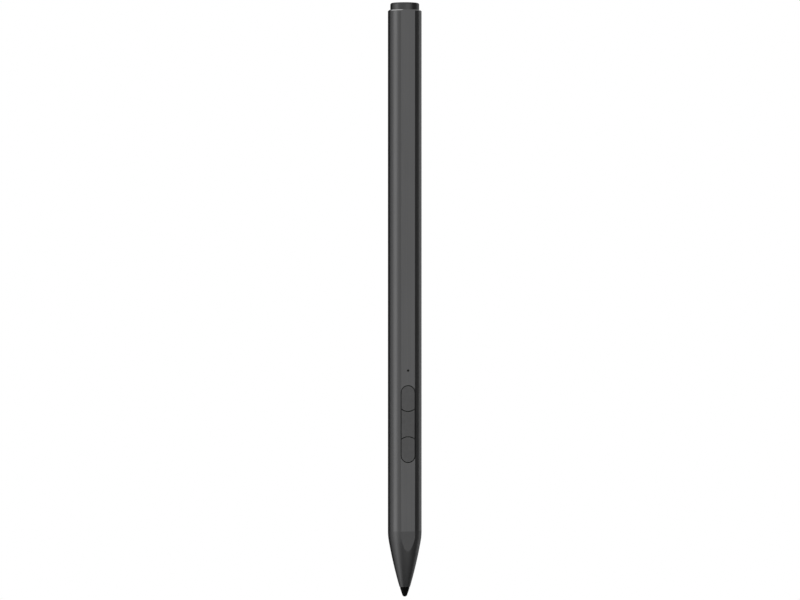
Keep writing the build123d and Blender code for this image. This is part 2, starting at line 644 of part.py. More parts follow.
def magnet_heights():
    """Lower ends of the magnets, as many as the battery's length has room for, centred on it."""
    pitch = MAGNET_LENGTH + MAGNET_GAP
    room = CELL_TOP_Z - CELL_Z - MAGNET_GAP
    count = int(room // pitch)
    start = (CELL_Z + CELL_TOP_Z - count * pitch + MAGNET_GAP) / 2
    return [start + i * pitch for i in range(count)]


def magnet_tray():
    half = TRAY_HALF_WIDTH
    tray = block((-half, TRAY_Y, CELL_Z), (half, TRAY_BACK_Y, CELL_TOP_Z))
    tray &= d_bar(CHASSIS_RADIUS, CHASSIS_FLAT_OFFSET, CELL_Z - OVERRUN, CELL_TOP_Z + OVERRUN)
    pocket = MAGNET_WIDTH / 2 + FIXED_CLEARANCE
    for low in magnet_heights():
        tray -= block(
            (-pocket, TRAY_Y - OVERRUN, low - FIXED_CLEARANCE),
            (pocket, TRAY_FLOOR_Y, low + MAGNET_LENGTH + FIXED_CLEARANCE),
        )
    return tray


def magnets():
    half = MAGNET_WIDTH / 2
    top = TRAY_Y + SEAT_GAP
    blocks = [
        block((-half, top, low), (half, TRAY_FLOOR_Y, low + MAGNET_LENGTH)) for low in magnet_heights()
    ]
    return Compound(children=blocks)


def chassis():
    spine = d_bar(CHASSIS_RADIUS, CHASSIS_FLAT_OFFSET, CHASSIS_Z, CHASSIS_TOP_Z)
    wide, outside = CHASSIS_RADIUS + OVERRUN, -CHASSIS_RADIUS - OVERRUN
    spine -= block((-wide, outside, CHASSIS_Z - OVERRUN), (wide, BOARD_BACK_Y, BOARD_TOP_Z + SEAT_GAP))
    spine -= block((-wide, outside, BOARD_TOP_Z), (wide, CHASSIS_TOP_Y, CHASSIS_TOP_Z + OVERRUN))
    ribbon_half = RIBBON_WIDTH / 2 + FIXED_CLEARANCE
    spine -= block((-ribbon_half, outside, BOARD_TOP_Z), (ribbon_half, RIBBON_BACK_Y + SEAT_GAP, USB_BAY_Z))
    cavity = BOARD_HALF_WIDTH - CAVITY_EDGE
    cavity_back = math.sqrt((CHASSIS_RADIUS - CAVITY_WALL) ** 2 - cavity**2)
    posts = (BOARD_Z + POST_LENGTH, BOARD_TOP_Z - POST_LENGTH)
    spine -= block((-cavity, BOARD_BACK_Y - OVERRUN, posts[0]), (cavity, cavity_back, posts[1]))
    for height in SCREW_Z:
        spine -= peg(
            SCREW_RADIUS + FIXED_CLEARANCE, BOARD_Y, BOARD_Y + SCREW_LENGTH + STOP_GAP, height
        )
    lead_y = (BOARD_Y + BOARD_BACK_Y) / 2
    for side in (-1, 1):
        spine -= rod(LEAD_RADIUS + FIXED_CLEARANCE, BOARD_TOP_Z, CELL_Z, x=side * LEAD_SPREAD, y=lead_y)
    spine -= rod(CRADLE_RADIUS, GUARD_Z - FIXED_CLEARANCE, FOAM_TOP_Z, y=CELL_Y)
    spine -= block(
        (-CRADLE_RADIUS, outside, GUARD_Z - FIXED_CLEARANCE), (CRADLE_RADIUS, CELL_Y, FOAM_TOP_Z)
    )
    spine -= charging_bay()
    boss = rod(NOSE_BORE_RADIUS - FIXED_CLEARANCE, SENSOR_TOP_Z + SEAT_GAP, CHASSIS_Z)
    flex_half = SENSOR_FLEX_WIDTH / 2 + FIXED_CLEARANCE
    boss -= block(
        (-flex_half, outside, SENSOR_TOP_Z), (flex_half, BOARD_Y + FIXED_CLEARANCE, CHASSIS_Z + OVERRUN)
    )
    return spine + boss


def charging_bay():
    """The room cut through the chassis for the receptacle, the charge board and the ribbon's end."""
    wide, outside = CHASSIS_RADIUS + OVERRUN, -CHASSIS_RADIUS - OVERRUN
    shell_half = USB_SHELL_LENGTH / 2 + FIXED_CLEARANCE
    shell_side = USB_SHELL_HEIGHT / 2 + FIXED_CLEARANCE
    board_side = CHARGE_BOARD_FAR_X + FIXED_CLEARANCE
    bay = block((-shell_side, outside, USB_Z - shell_half), (board_side, wide, USB_Z + shell_half))
    bay += block(
        (CHARGE_BOARD_X - FIXED_CLEARANCE - CHARGE_CHIP_HEIGHT, outside, USB_BAY_Z),
        (board_side, CHARGE_BOARD_BACK_Y + FIXED_CLEARANCE, CHASSIS_TOP_Z + OVERRUN),
    )
    ribbon_half = RIBBON_WIDTH / 2 + FIXED_CLEARANCE
    bay += block(
        (-ribbon_half, outside, USB_BAY_Z), (board_side, RIBBON_BACK_Y + SEAT_GAP, USB_Z)
    )
    return bay


def charge_board():
    return block(
        (CHARGE_BOARD_X, RIBBON_BACK_Y, USB_BAY_Z + SEAT_GAP),
        (CHARGE_BOARD_FAR_X, CHARGE_BOARD_BACK_Y, CHASSIS_TOP_Z),
    )


def charge_chip():
    low = USB_Z + USB_SHELL_LENGTH / 2 + STOP_GAP
    y = CHARGE_CHIP_SIDE / 2
    return block(
        (CHARGE_BOARD_X - CHARGE_CHIP_HEIGHT, -y, low), (CHARGE_BOARD_X, y, low + CHARGE_CHIP_SIDE)
    )


def usb_shell():
    shell = plate(pill(USB_SHELL_LENGTH, USB_SHELL_HEIGHT, USB_Z), USB_BACK_Y, USB_MOUTH_Y)
    mouth = pill(USB_MOUTH_WIDTH, USB_MOUTH_HEIGHT, USB_Z)
    return shell - plate(mouth, USB_BASE_Y, USB_MOUTH_Y + OVERRUN)


def usb_tongue():
    base = pill(USB_MOUTH_WIDTH - 2 * FIXED_CLEARANCE, USB_MOUTH_HEIGHT - 2 * FIXED_CLEARANCE, USB_Z)
    half, side = USB_TONGUE_WIDTH / 2, USB_TONGUE_THICKNESS / 2
    tongue = block((-side, USB_TONGUE_Y, USB_Z - half), (side, USB_TONGUE_TIP_Y, USB_Z + half))
    return plate(base, USB_BASE_Y, USB_TONGUE_Y) + tongue


def usb_contacts():
    """Two rows of gold contacts, one on each face of the tongue."""
    tip = USB_TONGUE_TIP_Y - CONTACT_SETBACK
    side = USB_TONGUE_THICKNESS / 2
    first = USB_Z - (CONTACTS_A_SIDE - 1) * CONTACT_PITCH / 2
    half = CONTACT_WIDTH / 2
    strips = []
    for number in range(CONTACTS_A_SIDE):
        middle = first + number * CONTACT_PITCH
        for near, far in ((-side - CONTACT_THICKNESS, -side), (side, side + CONTACT_THICKNESS)):
            strips.append(
                block((near, USB_TONGUE_Y, middle - half), (far, tip, middle + half))
            )
    return Compound(children=strips)


def tail_board():
    return d_bar(CHASSIS_RADIUS, CHASSIS_FLAT_OFFSET, TAIL_BOARD_Z, TAIL_SWITCH_Z)


def tail_switch():
    half = TAIL_SWITCH_SIDE / 2
    case = block((-half, -half, TAIL_SWITCH_Z), (half, half, TAIL_SWITCH_TOP_Z))
    floor = TAIL_SWITCH_Z + STEM_FLOOR
    return case - rod(STEM_RADIUS + RUNNING_CLEARANCE, floor, TAIL_SWITCH_TOP_Z + OVERRUN)


def tail_switch_stem():
    return rod(STEM_RADIUS, TAIL_STEM_Z, TAIL_STEM_TOP_Z)


def antenna():
    """A split sleeve of flexible film, rolled into the plug's upper recess under the plastic button."""
    outer = PLUG_RECESS_RADIUS - FIXED_CLEARANCE
    top = PLUG_GUIDE_TOP_Z + ANTENNA_HEIGHT
    sleeve = rod(outer, PLUG_GUIDE_TOP_Z, top)
    sleeve -= rod(outer - ANTENNA_THICKNESS, PLUG_GUIDE_TOP_Z - OVERRUN, top + OVERRUN)
    split = ANTENNA_SPLIT / 2
    return sleeve - block((-split, 0, PLUG_GUIDE_TOP_Z - OVERRUN), (split, outer + OVERRUN, top + OVERRUN))


def tail_plug():
    plug = d_bar(SPIGOT_RADIUS, SPIGOT_FLAT_OFFSET, TAIL_SWITCH_Z, PLUG_TOP_Z)
    plug -= rod(PLUG_RECESS_RADIUS, TAIL_SWITCH_Z - OVERRUN, PLUG_GUIDE_Z)
    plug -= rod(PLUG_RECESS_RADIUS, PLUG_GUIDE_TOP_Z, PLUG_TOP_Z + OVERRUN)
    return plug - rod(BUTTON_STEM_RADIUS + RUNNING_CLEARANCE, TAIL_SWITCH_Z, PLUG_TOP_Z)


def tail_button():
    cap = rod(BUTTON_RADIUS, BUTTON_Z, BUTTON_TOP_Z)
    cap = fillet(cap.edges().sort_by(Axis.Z)[-1:], BUTTON_EDGE_RADIUS)
    cap -= rod(BUTTON_RADIUS - BUTTON_WALL, BUTTON_Z - OVERRUN, BUTTON_ROOF_Z)
    cap += rod(BUTTON_STEM_RADIUS, TAIL_STEM_TOP_Z, BUTTON_ROOF_Z)
    return cap + rod(BUTTON_STEM_RADIUS + SNAP_HEAD_REACH, TAIL_STEM_TOP_Z, SNAP_HEAD_TOP_Z)


def pieces():
    """Every separate piece of the pen, by name."""
    return {
        "barrel": barrel(),
        "nose_cone": nose_cone(),
        "nib_tip": nib_tip(),
        "nib_core": nib_core(),
        "nib_guide": nib_guide(),
        "tilt_ring": tilt_ring(),
        "nib_carrier": nib_carrier(),
        "nib_clip": nib_clip(),
        "nib_spring": coil(NIB_SPRING_RADIUS, NIB_SPRING_WIRE, NIB_SPRING_Z, SENSOR_Z, NIB_SPRING_TURNS),
        "sensor_pad": rod(PAD_RADIUS, PAD_Z, SENSOR_Z),
        "force_sensor": force_sensor(),
        "sensor_flex": sensor_flex(),
        "lower_key": key(LOWER_KEY_ENDS, False),
        "upper_key": key(UPPER_KEY_ENDS, True),
        "key_bridge": key_bridge(),
        "lower_switch": switch_case(LOWER_KEY_Z),
        "upper_switch": switch_case(UPPER_KEY_Z),
        "lower_switch_stem": switch_stem(LOWER_KEY_Z),
        "upper_switch_stem": switch_stem(UPPER_KEY_Z),
        "status_led": status_led(),
        "light_pipe": light_pipe(),
        "main_board": main_board(),
        "processor_chip": processor_chip(),
        "radio_chip": radio_chip(),
        "clock_crystal": clock_crystal(),
        "board_passives": board_passives(),
        "board_screws": board_screws(),
        "ribbon_connector": ribbon_connector(),
        "ribbon_cable": ribbon_cable(),
        "chassis": chassis(),
        "battery_cell": battery_cell(),
        "battery_wrap": battery_wrap(),
        "battery_guard_board": battery_guard_board(),
        "battery_leads": battery_leads(),
        "battery_foam": battery_foam(),
        "magnet_tray": magnet_tray(),
        "magnets": magnets(),
        "charge_board": charge_board(),
        "charge_chip": charge_chip(),
        "usb_shell": usb_shell(),
        "usb_tongue": usb_tongue(),
        "usb_contacts": usb_contacts(),
        "tail_board": tail_board(),
        "tail_switch": tail_switch(),
        "tail_switch_stem": tail_switch_stem(),
        "antenna": antenna(),
        "tail_plug": tail_plug(),
        "tail_spring": coil(
            TAIL_SPRING_RADIUS, TAIL_SPRING_WIRE, PLUG_GUIDE_TOP_Z, BUTTON_ROOF_Z, TAIL_SPRING_TURNS
        ),
        "tail_button": tail_button(),
    }


def main():
    os.makedirs("parts", exist_ok=True)
    made = pieces()
    for name, shape in made.items():
        export_step(shape, os.path.join("parts", name + ".step"))
    print(len(made), "pieces, pen length", round(BUTTON_TOP_Z, 2), "mm")


main()
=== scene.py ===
# %% [markdown]
# # A stylus pen, dressed for its picture
# The pen is a slim aluminium tube with one flat along its whole length. Two side keys sit in the flat, a
# push button closes the tail, and a tapered nose holds a black nib that can be pulled out. The frame gives
# the solids in metres, with the nib's point at the origin and the flat facing -Y. What shows from outside
# is modelled again here, finely enough to be looked at closely, and so is what gives way inside. All other
# pieces keep their solids and get a finish.

# %% Load the frame
import json
import math

import bmesh
import bpy
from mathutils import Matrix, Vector


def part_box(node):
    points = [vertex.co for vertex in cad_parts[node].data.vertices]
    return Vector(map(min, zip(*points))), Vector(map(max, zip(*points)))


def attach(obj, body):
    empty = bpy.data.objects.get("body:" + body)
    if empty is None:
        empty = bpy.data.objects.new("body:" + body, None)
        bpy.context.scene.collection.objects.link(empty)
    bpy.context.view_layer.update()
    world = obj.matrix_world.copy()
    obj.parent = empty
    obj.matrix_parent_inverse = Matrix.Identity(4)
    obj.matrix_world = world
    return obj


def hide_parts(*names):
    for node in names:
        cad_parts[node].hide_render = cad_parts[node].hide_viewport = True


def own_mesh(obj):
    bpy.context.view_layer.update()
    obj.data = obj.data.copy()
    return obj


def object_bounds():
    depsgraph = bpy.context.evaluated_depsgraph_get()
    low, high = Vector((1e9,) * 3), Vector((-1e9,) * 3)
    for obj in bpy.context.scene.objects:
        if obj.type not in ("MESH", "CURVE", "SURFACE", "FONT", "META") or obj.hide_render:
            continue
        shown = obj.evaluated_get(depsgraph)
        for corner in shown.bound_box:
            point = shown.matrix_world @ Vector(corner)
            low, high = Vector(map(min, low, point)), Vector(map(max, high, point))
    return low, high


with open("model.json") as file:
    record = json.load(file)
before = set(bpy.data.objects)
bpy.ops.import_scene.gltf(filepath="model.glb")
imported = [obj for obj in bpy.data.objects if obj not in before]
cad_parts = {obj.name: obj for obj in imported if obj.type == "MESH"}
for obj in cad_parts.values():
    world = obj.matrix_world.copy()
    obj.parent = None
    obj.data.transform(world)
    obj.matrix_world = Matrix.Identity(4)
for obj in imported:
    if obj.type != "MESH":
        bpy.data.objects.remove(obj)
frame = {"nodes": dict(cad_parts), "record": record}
solid_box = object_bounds()
MM = 0.001
PEN_LENGTH = solid_box[1].z - solid_box[0].z
print("pen of", len(frame["nodes"]), "solids,", round(PEN_LENGTH / MM, 2), "mm long")

# %% [markdown]
# ## Bench tools
# Every piece starts as a primitive and is then shaped in edit mode. An operator acts on whatever is
# selected, so each piece is begun with everything else deselected, and points, edges and faces are picked
# by their place. A bare vertex that is extruded from point to point gives an outline, which is more exact
# than pushing a primitive about, and the spin operator turns such an outline like a lathe does.

# %% Start a piece and pick its parts
HAIR = 0.002 * MM
MERGE = 0.0002 * MM


def fresh():
    """Leaves edit mode and deselects everything."""
    if bpy.context.object and bpy.context.object.mode == "EDIT":
        bpy.ops.object.mode_set(mode="OBJECT")
    bpy.ops.object.select_all(action="DESELECT")


def begin(name):
    """Names the primitive just added, puts its place into its mesh and opens it for editing."""
    piece = bpy.context.object
    piece.name = piece.data.name = name
    bpy.ops.object.transform_apply(location=True, rotation=True, scale=True)
    bpy.ops.object.mode_set(mode="EDIT")
    bpy.ops.mesh.select_mode(type="VERT")
    bpy.ops.mesh.select_all(action="SELECT")
    return piece


def pick(piece, kind, test):
    """Selects the vertices, edges or faces that pass a test, and nothing else."""
    bpy.ops.mesh.select_mode(type=kind)
    bpy.ops.mesh.select_all(action="DESELECT")
    mesh = bmesh.from_edit_mesh(piece.data)
    parts = {"VERT": mesh.verts, "EDGE": mesh.edges, "FACE": mesh.faces}[kind]
    chosen = [part for part in parts if test(part)]
    for part in chosen:
        part.select_set(True)
    mesh.select_flush_mode()
    bmesh.update_edit_mesh(piece.data)
    return len(chosen)


def all_near(part, axis, value, reach=HAIR):
    """True where every corner of an edge or face lies on a plane across an axis."""
    return all(abs(vert.co[axis] - value) < reach for vert in part.verts)


Y, Z = 1, 2
print("bench ready, points closer than", MERGE / MM, "mm are merged")

# %% Draw an outline, turn it, and cut one shape out of another
ROUND = 256
# Not a multiple of four, so that no vertex lies on the line where a full-round bar is parted.
PILL_ROUND = 98


def trace(name, points):
    """Draws a line from point to point by extruding one vertex."""
    fresh()
    bpy.ops.mesh.primitive_plane_add(size=MM, location=points[0])
    piece = begin(name)
    bpy.ops.mesh.merge(type="CENTER")
    for here, there in zip(points, points[1:]):
        step = [b - a for a, b in zip(here, there)]
        bpy.ops.mesh.extrude_region_move(TRANSFORM_OT_translate={"value": step})
    bpy.ops.mesh.select_all(action="SELECT")
    return piece


def seal():
    """Merges doubled points and turns all faces outwards."""
    bpy.ops.mesh.select_all(action="SELECT")
    bpy.ops.mesh.remove_doubles(threshold=MERGE)
    bpy.ops.mesh.normals_make_consistent(inside=False)


def turn(name, outline, steps=ROUND, back=0.0):
    """Turns an outline of radius and height about the pen's axis, or about a line further back."""
    piece = trace(name, [(radius, back, height) for radius, height in outline])
    bpy.ops.mesh.spin(steps=steps, angle=2 * math.pi, center=(0, back, 0), axis=(0, 0, 1))
    seal()
    return piece


def cut(piece, tool, operation="DIFFERENCE"):
    """Takes a closed shape out of a piece, or joins it on, and removes the shape."""
    fresh()
    piece.select_set(True)
    bpy.context.view_layer.objects.active = piece
    bpy.ops.object.modifier_add(type="BOOLEAN")
    boolean = piece.modifiers[-1]
    boolean.operation = operation
    boolean.solver = "EXACT"
    boolean.object = tool
    bpy.ops.object.modifier_apply(modifier=boolean.name)
    bpy.data.objects.remove(tool)
    bpy.ops.object.mode_set(mode="EDIT")
    seal()


def rod(name, radius, low, high, steps=ROUND):
    """A round bar along the pen between two heights."""
    fresh()
    middle = (0, 0, (low + high) / 2)
    bpy.ops.mesh.primitive_cylinder_add(vertices=steps, radius=radius, depth=high - low, location=middle)
    return begin(name)


def slice_off(point, normal):
    """Slices off what lies beyond a plane and closes the cut."""
    bpy.ops.mesh.select_all(action="SELECT")
    bpy.ops.mesh.bisect(
        plane_co=point, plane_no=normal, use_fill=True, clear_outer=True, threshold=MERGE
    )


def d_bar(name, radius, flat, low, high):
    """A round bar with one flat, sliced off at a plane that faces -Y."""
    bar = rod(name, radius, low, high)
    slice_off((0, flat, 0), (0, -1, 0))
    return bar


def pill_bar(name, length, width, middle, outer, inner):
    """A full-round bar across the pen: a cylinder parted along its middle and drawn out along the pen."""
    fresh()
    bpy.ops.mesh.primitive_cylinder_add(
        vertices=PILL_ROUND,
        radius=width / 2,
        depth=inner - outer,
        location=(0, (outer + inner) / 2, middle),
        rotation=(math.pi / 2, 0, 0),
    )
    bar = begin(name)
    for way in (1, -1):
        pick(bar, "VERT", lambda vert: (vert.co.z - middle) * way > 0)
        bpy.ops.transform.translate(value=(0, 0, way * (length - width) / 2))
    return bar


def block(name, low, high):
    """A box between two opposite corners."""
    fresh()
    middle = [(a + b) / 2 for a, b in zip(low, high)]
    bpy.ops.mesh.primitive_cube_add(size=1, location=middle, scale=[b - a for a, b in zip(low, high)])
    return begin(name)


print("rounds are drawn with", ROUND, "steps")

# %% Arcs for outlines


def arc(middle, radius, start, end, steps):
    """Points on a circle between two angles in degrees."""
    angles = [math.radians(start + (end - start) * i / steps) for i in range(steps + 1)]
    return [(middle[0] + radius * math.cos(a), middle[1] + radius * math.sin(a)) for a in angles]


def arc_on(start, heading, end, steps):
    """Points of the arc that leaves a start along a heading and reaches an end, and its heading there."""
    side = (-heading[1], heading[0])
    chord = (end[0] - start[0], end[1] - start[1])
    ahead = chord[0] * heading[0] + chord[1] * heading[1]
    aside = chord[0] * side[0] + chord[1] * side[1]
    radius = (ahead**2 + aside**2) / (2 * aside)
    sweep = 2 * math.atan2(aside, ahead)
    points = []
    for i in range(steps + 1):
        angle = sweep * i / steps
        along, across = radius * math.sin(angle), radius * (1 - math.cos(angle))
        points.append(tuple(p + along * h + across * s for p, h, s in zip(start, heading, side)))
    turned = tuple(h * math.cos(sweep) + s * math.sin(sweep) for h, s in zip(heading, side))
    return points, turned


print("a quarter round leads from", (1, 0), "to", [round(p, 3) for p in arc((0, 0), 1, 0, 90, 2)[-1]])

# %% Close a piece and hand it over
CREASE = 32


def close(piece, crease=CREASE):
    """Seals a finished mesh and shades it with crisp edges, its broad faces staying flat."""
    seal()
    bpy.ops.object.mode_set(mode="OBJECT")
    bpy.ops.object.shade_smooth_by_angle(angle=math.radians(crease))
    bpy.ops.object.modifier_add(type="WEIGHTED_NORMAL")
    weighting = piece.modifiers[-1]
    weighting.keep_sharp = True
    bpy.ops.object.modifier_apply(modifier=weighting.name)


def hand_over(piece, body, slot, *nodes):
    """Lets a piece ride on its body in place of the solids that it stands for."""
    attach(piece, body)
    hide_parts(*nodes)
    sides = [round(side / MM, 2) for side in piece.dimensions]
    print(piece.name, "stands for", *nodes, "size in mm", sides, "faces", len(piece.data.polygons))


print("edges sharper than", CREASE, "degrees stay crisp")

# %% [markdown]
# ## Finishes
# A finish is a material made of nodes, so that it stays sharp at any distance. Its patterns read the
# piece's own coordinates in metres: a speck of a given size is noise scaled by one over that size. The same
# speck can colour the surface, roughen it and raise it a few thousandths of a millimetre, which is what
# makes blasted metal or moulded plastic look real when light rakes over it.

# %% Tools for finishes
NOISE_LOW, NOISE_HIGH = 0.3, 0.7


def new_finish(name, **settings):
    """A material whose shader has the given settings on its own sockets."""
    material = bpy.data.materials.new(name)
    material.use_nodes = True
    shader = material.node_tree.nodes["Principled BSDF"]
    for socket, value in settings.items():
        shader.inputs[socket.replace("_", " ")].default_value = value
    return material


def add_node(material, kind, **values):
    """Adds a node of a kind, with values on its sockets."""
    node = material.node_tree.nodes.new("ShaderNode" + kind)
    for socket, value in values.items():
        node.inputs[socket.replace("_", " ")].default_value = value
    return node


def link(material, output, socket):
    """Joins a node's output to another node's socket."""
    material.node_tree.links.new(output, socket)


def shader_socket(material, name):
    """One of the sockets of the material's shader."""
    return material.node_tree.nodes["Principled BSDF"].inputs[name]


def specks(material, size, drawn=(1, 1, 1), detail=2.0):
    """Noise on the piece's own coordinates, with specks of a size, drawn out along the axes by factors."""
    place = add_node(material, "TexCoord")
    scale = add_node(material, "Mapping", Scale=[1 / size / factor for factor in drawn])
    noise = add_node(material, "TexNoise", Scale=1.0, Detail=detail)
    link(material, place.outputs["Object"], scale.inputs["Vector"])
    link(material, scale.outputs["Vector"], noise.inputs["Vector"])
    return noise.outputs["Fac"]


def gloss_by(material, pattern, low, high):
    """Drives the roughness of the surface from a pattern."""
    spread = add_node(
        material, "MapRange", From_Min=NOISE_LOW, From_Max=NOISE_HIGH, To_Min=low, To_Max=high
    )
    link(material, pattern, spread.inputs["Value"])
    link(material, spread.outputs["Result"], shader_socket(material, "Roughness"))


def shades(colour, darker, lighter):
    """A darker and a lighter shade of a colour, for the two ends of a pattern."""
    return [[min(1, channel * share) for channel in colour] for share in (darker, lighter)]


def colour_by(material, pattern, dark, light, start=NOISE_LOW, end=NOISE_HIGH):
    """Colours the surface from a pattern, between a dark and a light tone."""
    ramp = add_node(material, "ValToRGB")
    for stop, place, tone in zip(ramp.color_ramp.elements, (start, end), (dark, light)):
        stop.position = place
        stop.color = (*tone, 1)
    link(material, pattern, ramp.inputs["Fac"])
    link(material, ramp.outputs["Color"], shader_socket(material, "Base Color"))


def raise_by(material, pattern, height):
    """Raises the surface by a pattern, on top of what already raises it."""
    bump = add_node(material, "Bump", Strength=1.0, Distance=height)
    socket = shader_socket(material, "Normal")
    if socket.links:
        link(material, socket.links[0].from_socket, bump.inputs["Normal"])
    link(material, pattern, bump.inputs["Height"])
    link(material, bump.outputs["Normal"], socket)


def grey(level, tint=1.01):
    """A grey with a trace of blue, as a linear colour."""
    return (level, level, level * tint)


print("noise counts from", NOISE_LOW, "to", NOISE_HIGH, "and reads object coordinates in metres")

# %% [markdown]
# ## The barrel
# The real barrel is a drawn aluminium tube, blasted to a satin surface and dyed dark grey. It starts as a
# cylinder with many sides. Its upper edge is bevelled, because a cutter leaves a bright chamfer there, and
# the flat is one bisect, filled. Slicing keeps the flat truly flat, which squashing a row of points would
# not. The bore, the slot of the keys, the lamp's hole and the port are booleans with plain bars.

# %% Shell of the barrel
barrel_low, barrel_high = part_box("barrel")
grip = next(mount for mount in frame["record"]["mounts"] if mount["name"] == "barrel_grip")
BARREL_RADIUS = grip["dims"]["r_mm"] * MM
FLAT = barrel_low.y
SEAM, RIM = barrel_low.z, barrel_high.z
RIM_CHAMFER = 0.25 * MM
EDGE_ROUND = 0.07 * MM
EDGE_STEPS, RIM_STEPS = 3, 2

barrel = rod("barrel_shell", BARREL_RADIUS, SEAM, RIM)
pick(barrel, "EDGE", lambda edge: all_near(edge, Z, RIM))
bpy.ops.mesh.bevel(offset=RIM_CHAMFER, segments=1)
slice_off((0, FLAT, 0), (0, -1, 0))
flat_edges = pick(
    barrel,
    "EDGE",
    lambda edge: all_near(edge, Y, FLAT) and abs(edge.verts[0].co.z - edge.verts[1].co.z) > RIM_CHAMFER,
)
bpy.ops.mesh.bevel(offset=EDGE_ROUND, segments=EDGE_STEPS)
print("long edges of the flat rounded:", flat_edges)

# %% Bore, key slot, lamp hole and charging port
WALL = 0.6 * MM
FIT = 0.05 * MM
RUN = 0.06 * MM
KEY_GAP = 0.2 * MM
SLOT_WIDTH = 4.0 * MM
BORE_RADIUS = BARREL_RADIUS - WALL
BORE_FLAT = FLAT + WALL
lower_low, lower_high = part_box("lower_key")
upper_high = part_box("upper_key")[1]
lamp_low, lamp_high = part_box("light_pipe")
port_low, port_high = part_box("usb_shell")
button_low, button_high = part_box("tail_button")
LEDGE = RUN - math.sqrt(BORE_RADIUS**2 - lower_high.x**2)
SLOT_LOW, SLOT_HIGH = lower_low.z - KEY_GAP, upper_high.z + KEY_GAP
SLOT_MIDDLE = (SLOT_LOW + SLOT_HIGH) / 2
LAMP_Z = (lamp_low.z + lamp_high.z) / 2
LAMP_RADIUS = 0.25 * MM
PORT_Z = (port_low.z + port_high.z) / 2
PLUG_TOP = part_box("tail_plug")[1].z

cut(barrel, d_bar("bore", BORE_RADIUS, BORE_FLAT, SEAM - MM, PLUG_TOP))
cut(barrel, rod("tail_bore", button_high.x + RUN, PLUG_TOP - HAIR, RIM + MM))
cut(barrel, pill_bar("slot", SLOT_HIGH - SLOT_LOW, SLOT_WIDTH, SLOT_MIDDLE, FLAT - MM, LEDGE))
lamp_hole = 2 * (LAMP_RADIUS + FIT)
cut(barrel, pill_bar("lamp_hole", lamp_hole, lamp_hole, LAMP_Z, FLAT - MM, LEDGE))
port_length, port_width = port_high.z - port_low.z + 2 * FIT, port_high.x - port_low.x + 2 * FIT
cut(barrel, pill_bar("port", port_length, port_width, PORT_Z, 0, BARREL_RADIUS + MM))
print("slot", round((SLOT_HIGH - SLOT_LOW) / MM, 2), "mm long, port", round(port_length / MM, 2), "mm long")

# %% Soften the edges of the openings
SLOT_ROUND = 0.03 * MM
PORT_ROUND = 0.05 * MM


def lines_opening(face, height, length, width, side):
    """True for the faces that line an opening on the front or back, which run straight in."""
    middle = face.calc_center_median()
    within = abs(middle.z - height) < length / 2 + HAIR and abs(middle.x) < width / 2 + HAIR
    return within and middle.y * side > 0 and abs(face.normal.y) < HAIR


def soften(height, length, width, side, size):
    """Rounds the edges between an opening's lining and the outside of the barrel."""

    def on_rim(edge):
        lining = [lines_opening(face, height, length, width, side) for face in edge.link_faces]
        outside = all(math.hypot(vert.co.x, vert.co.y) > BORE_RADIUS + WALL / 4 for vert in edge.verts)
        return outside and any(lining) and not all(lining)

    edges = pick(barrel, "EDGE", on_rim)
    bpy.ops.mesh.bevel(offset=size, segments=RIM_STEPS, clamp_overlap=True)
    print("edges softened", edges, "round the opening at", round(height / MM, 2), "mm")


FRONT, BACK = -1, 1
soften(SLOT_MIDDLE, SLOT_HIGH - SLOT_LOW, SLOT_WIDTH, FRONT, SLOT_ROUND)
soften(LAMP_Z, lamp_hole, lamp_hole, FRONT, SLOT_ROUND)
soften(PORT_Z, port_length, port_width, BACK, PORT_ROUND)
close(barrel)
hand_over(barrel, "pen_body", "anodised_barrel", "barrel")

# %% Finish of the barrel
# The second of these tones is a painted highlight, laid along the flat's long edges.
DYED, EDGE_HIGHLIGHT, BARE = 0.076, 0.13, 0.26
GRAZE = 0.45


def dyed_metal(name, level, rough, draw):
    """Blasted and dyed aluminium, or paint like it: fine grain, faint draw lines and uneven gloss."""
    material = new_finish(name, Metallic=1.0, Specular_Tint=(GRAZE, GRAZE, GRAZE, 1))
    lines = specks(material, size=0.12 * MM, drawn=(1, 1, draw), detail=3.0)
    clouds = specks(material, size=6 * MM, drawn=(1, 1, 3))
    grain = specks(material, size=0.08 * MM, detail=4.0)
    colour_by(material, lines, *shades(grey(level), darker=0.94, lighter=1.06))
    gloss_by(material, clouds, low=rough - 0.02, high=rough + 0.03)
    raise_by(material, grain, height=0.0006 * MM)
    return material


def paint_edge_highlight(material, across, depth, reach, highlight):
    """Paints a lighter, patchy highlight along two lines up the pen, a distance across and a depth away."""
    place = add_node(material, "TexCoord")
    parts = add_node(material, "SeparateXYZ")
    side = add_node(material, "Math")
    side.operation = "ABSOLUTE"
    half = add_node(material, "CombineXYZ")
    away = add_node(material, "VectorMath")
    away.operation = "DISTANCE"
    away.inputs[1].default_value = (across, depth, 0)
    near = add_node(material, "MapRange", From_Min=reach, From_Max=0.0)
    patchy = add_node(material, "Math")
    patchy.operation = "MULTIPLY"
    blend = add_node(material, "MixRGB", Color2=(*highlight, 1))
    link(material, place.outputs["Object"], parts.inputs["Vector"])
    link(material, parts.outputs["X"], side.inputs[0])
    link(material, side.outputs["Value"], half.inputs["X"])
    link(material, parts.outputs["Y"], half.inputs["Y"])
    link(material, half.outputs["Vector"], away.inputs[0])
    link(material, away.outputs["Value"], near.inputs["Value"])
    link(material, near.outputs["Result"], patchy.inputs[0])
    link(material, specks(material, size=0.6 * MM, drawn=(1, 1, 6)), patchy.inputs[1])
    link(material, patchy.outputs["Value"], blend.inputs["Fac"])
    dyed = shader_socket(material, "Base Color")
    link(material, dyed.links[0].from_socket, blend.inputs["Color1"])
    link(material, blend.outputs["Color"], dyed)


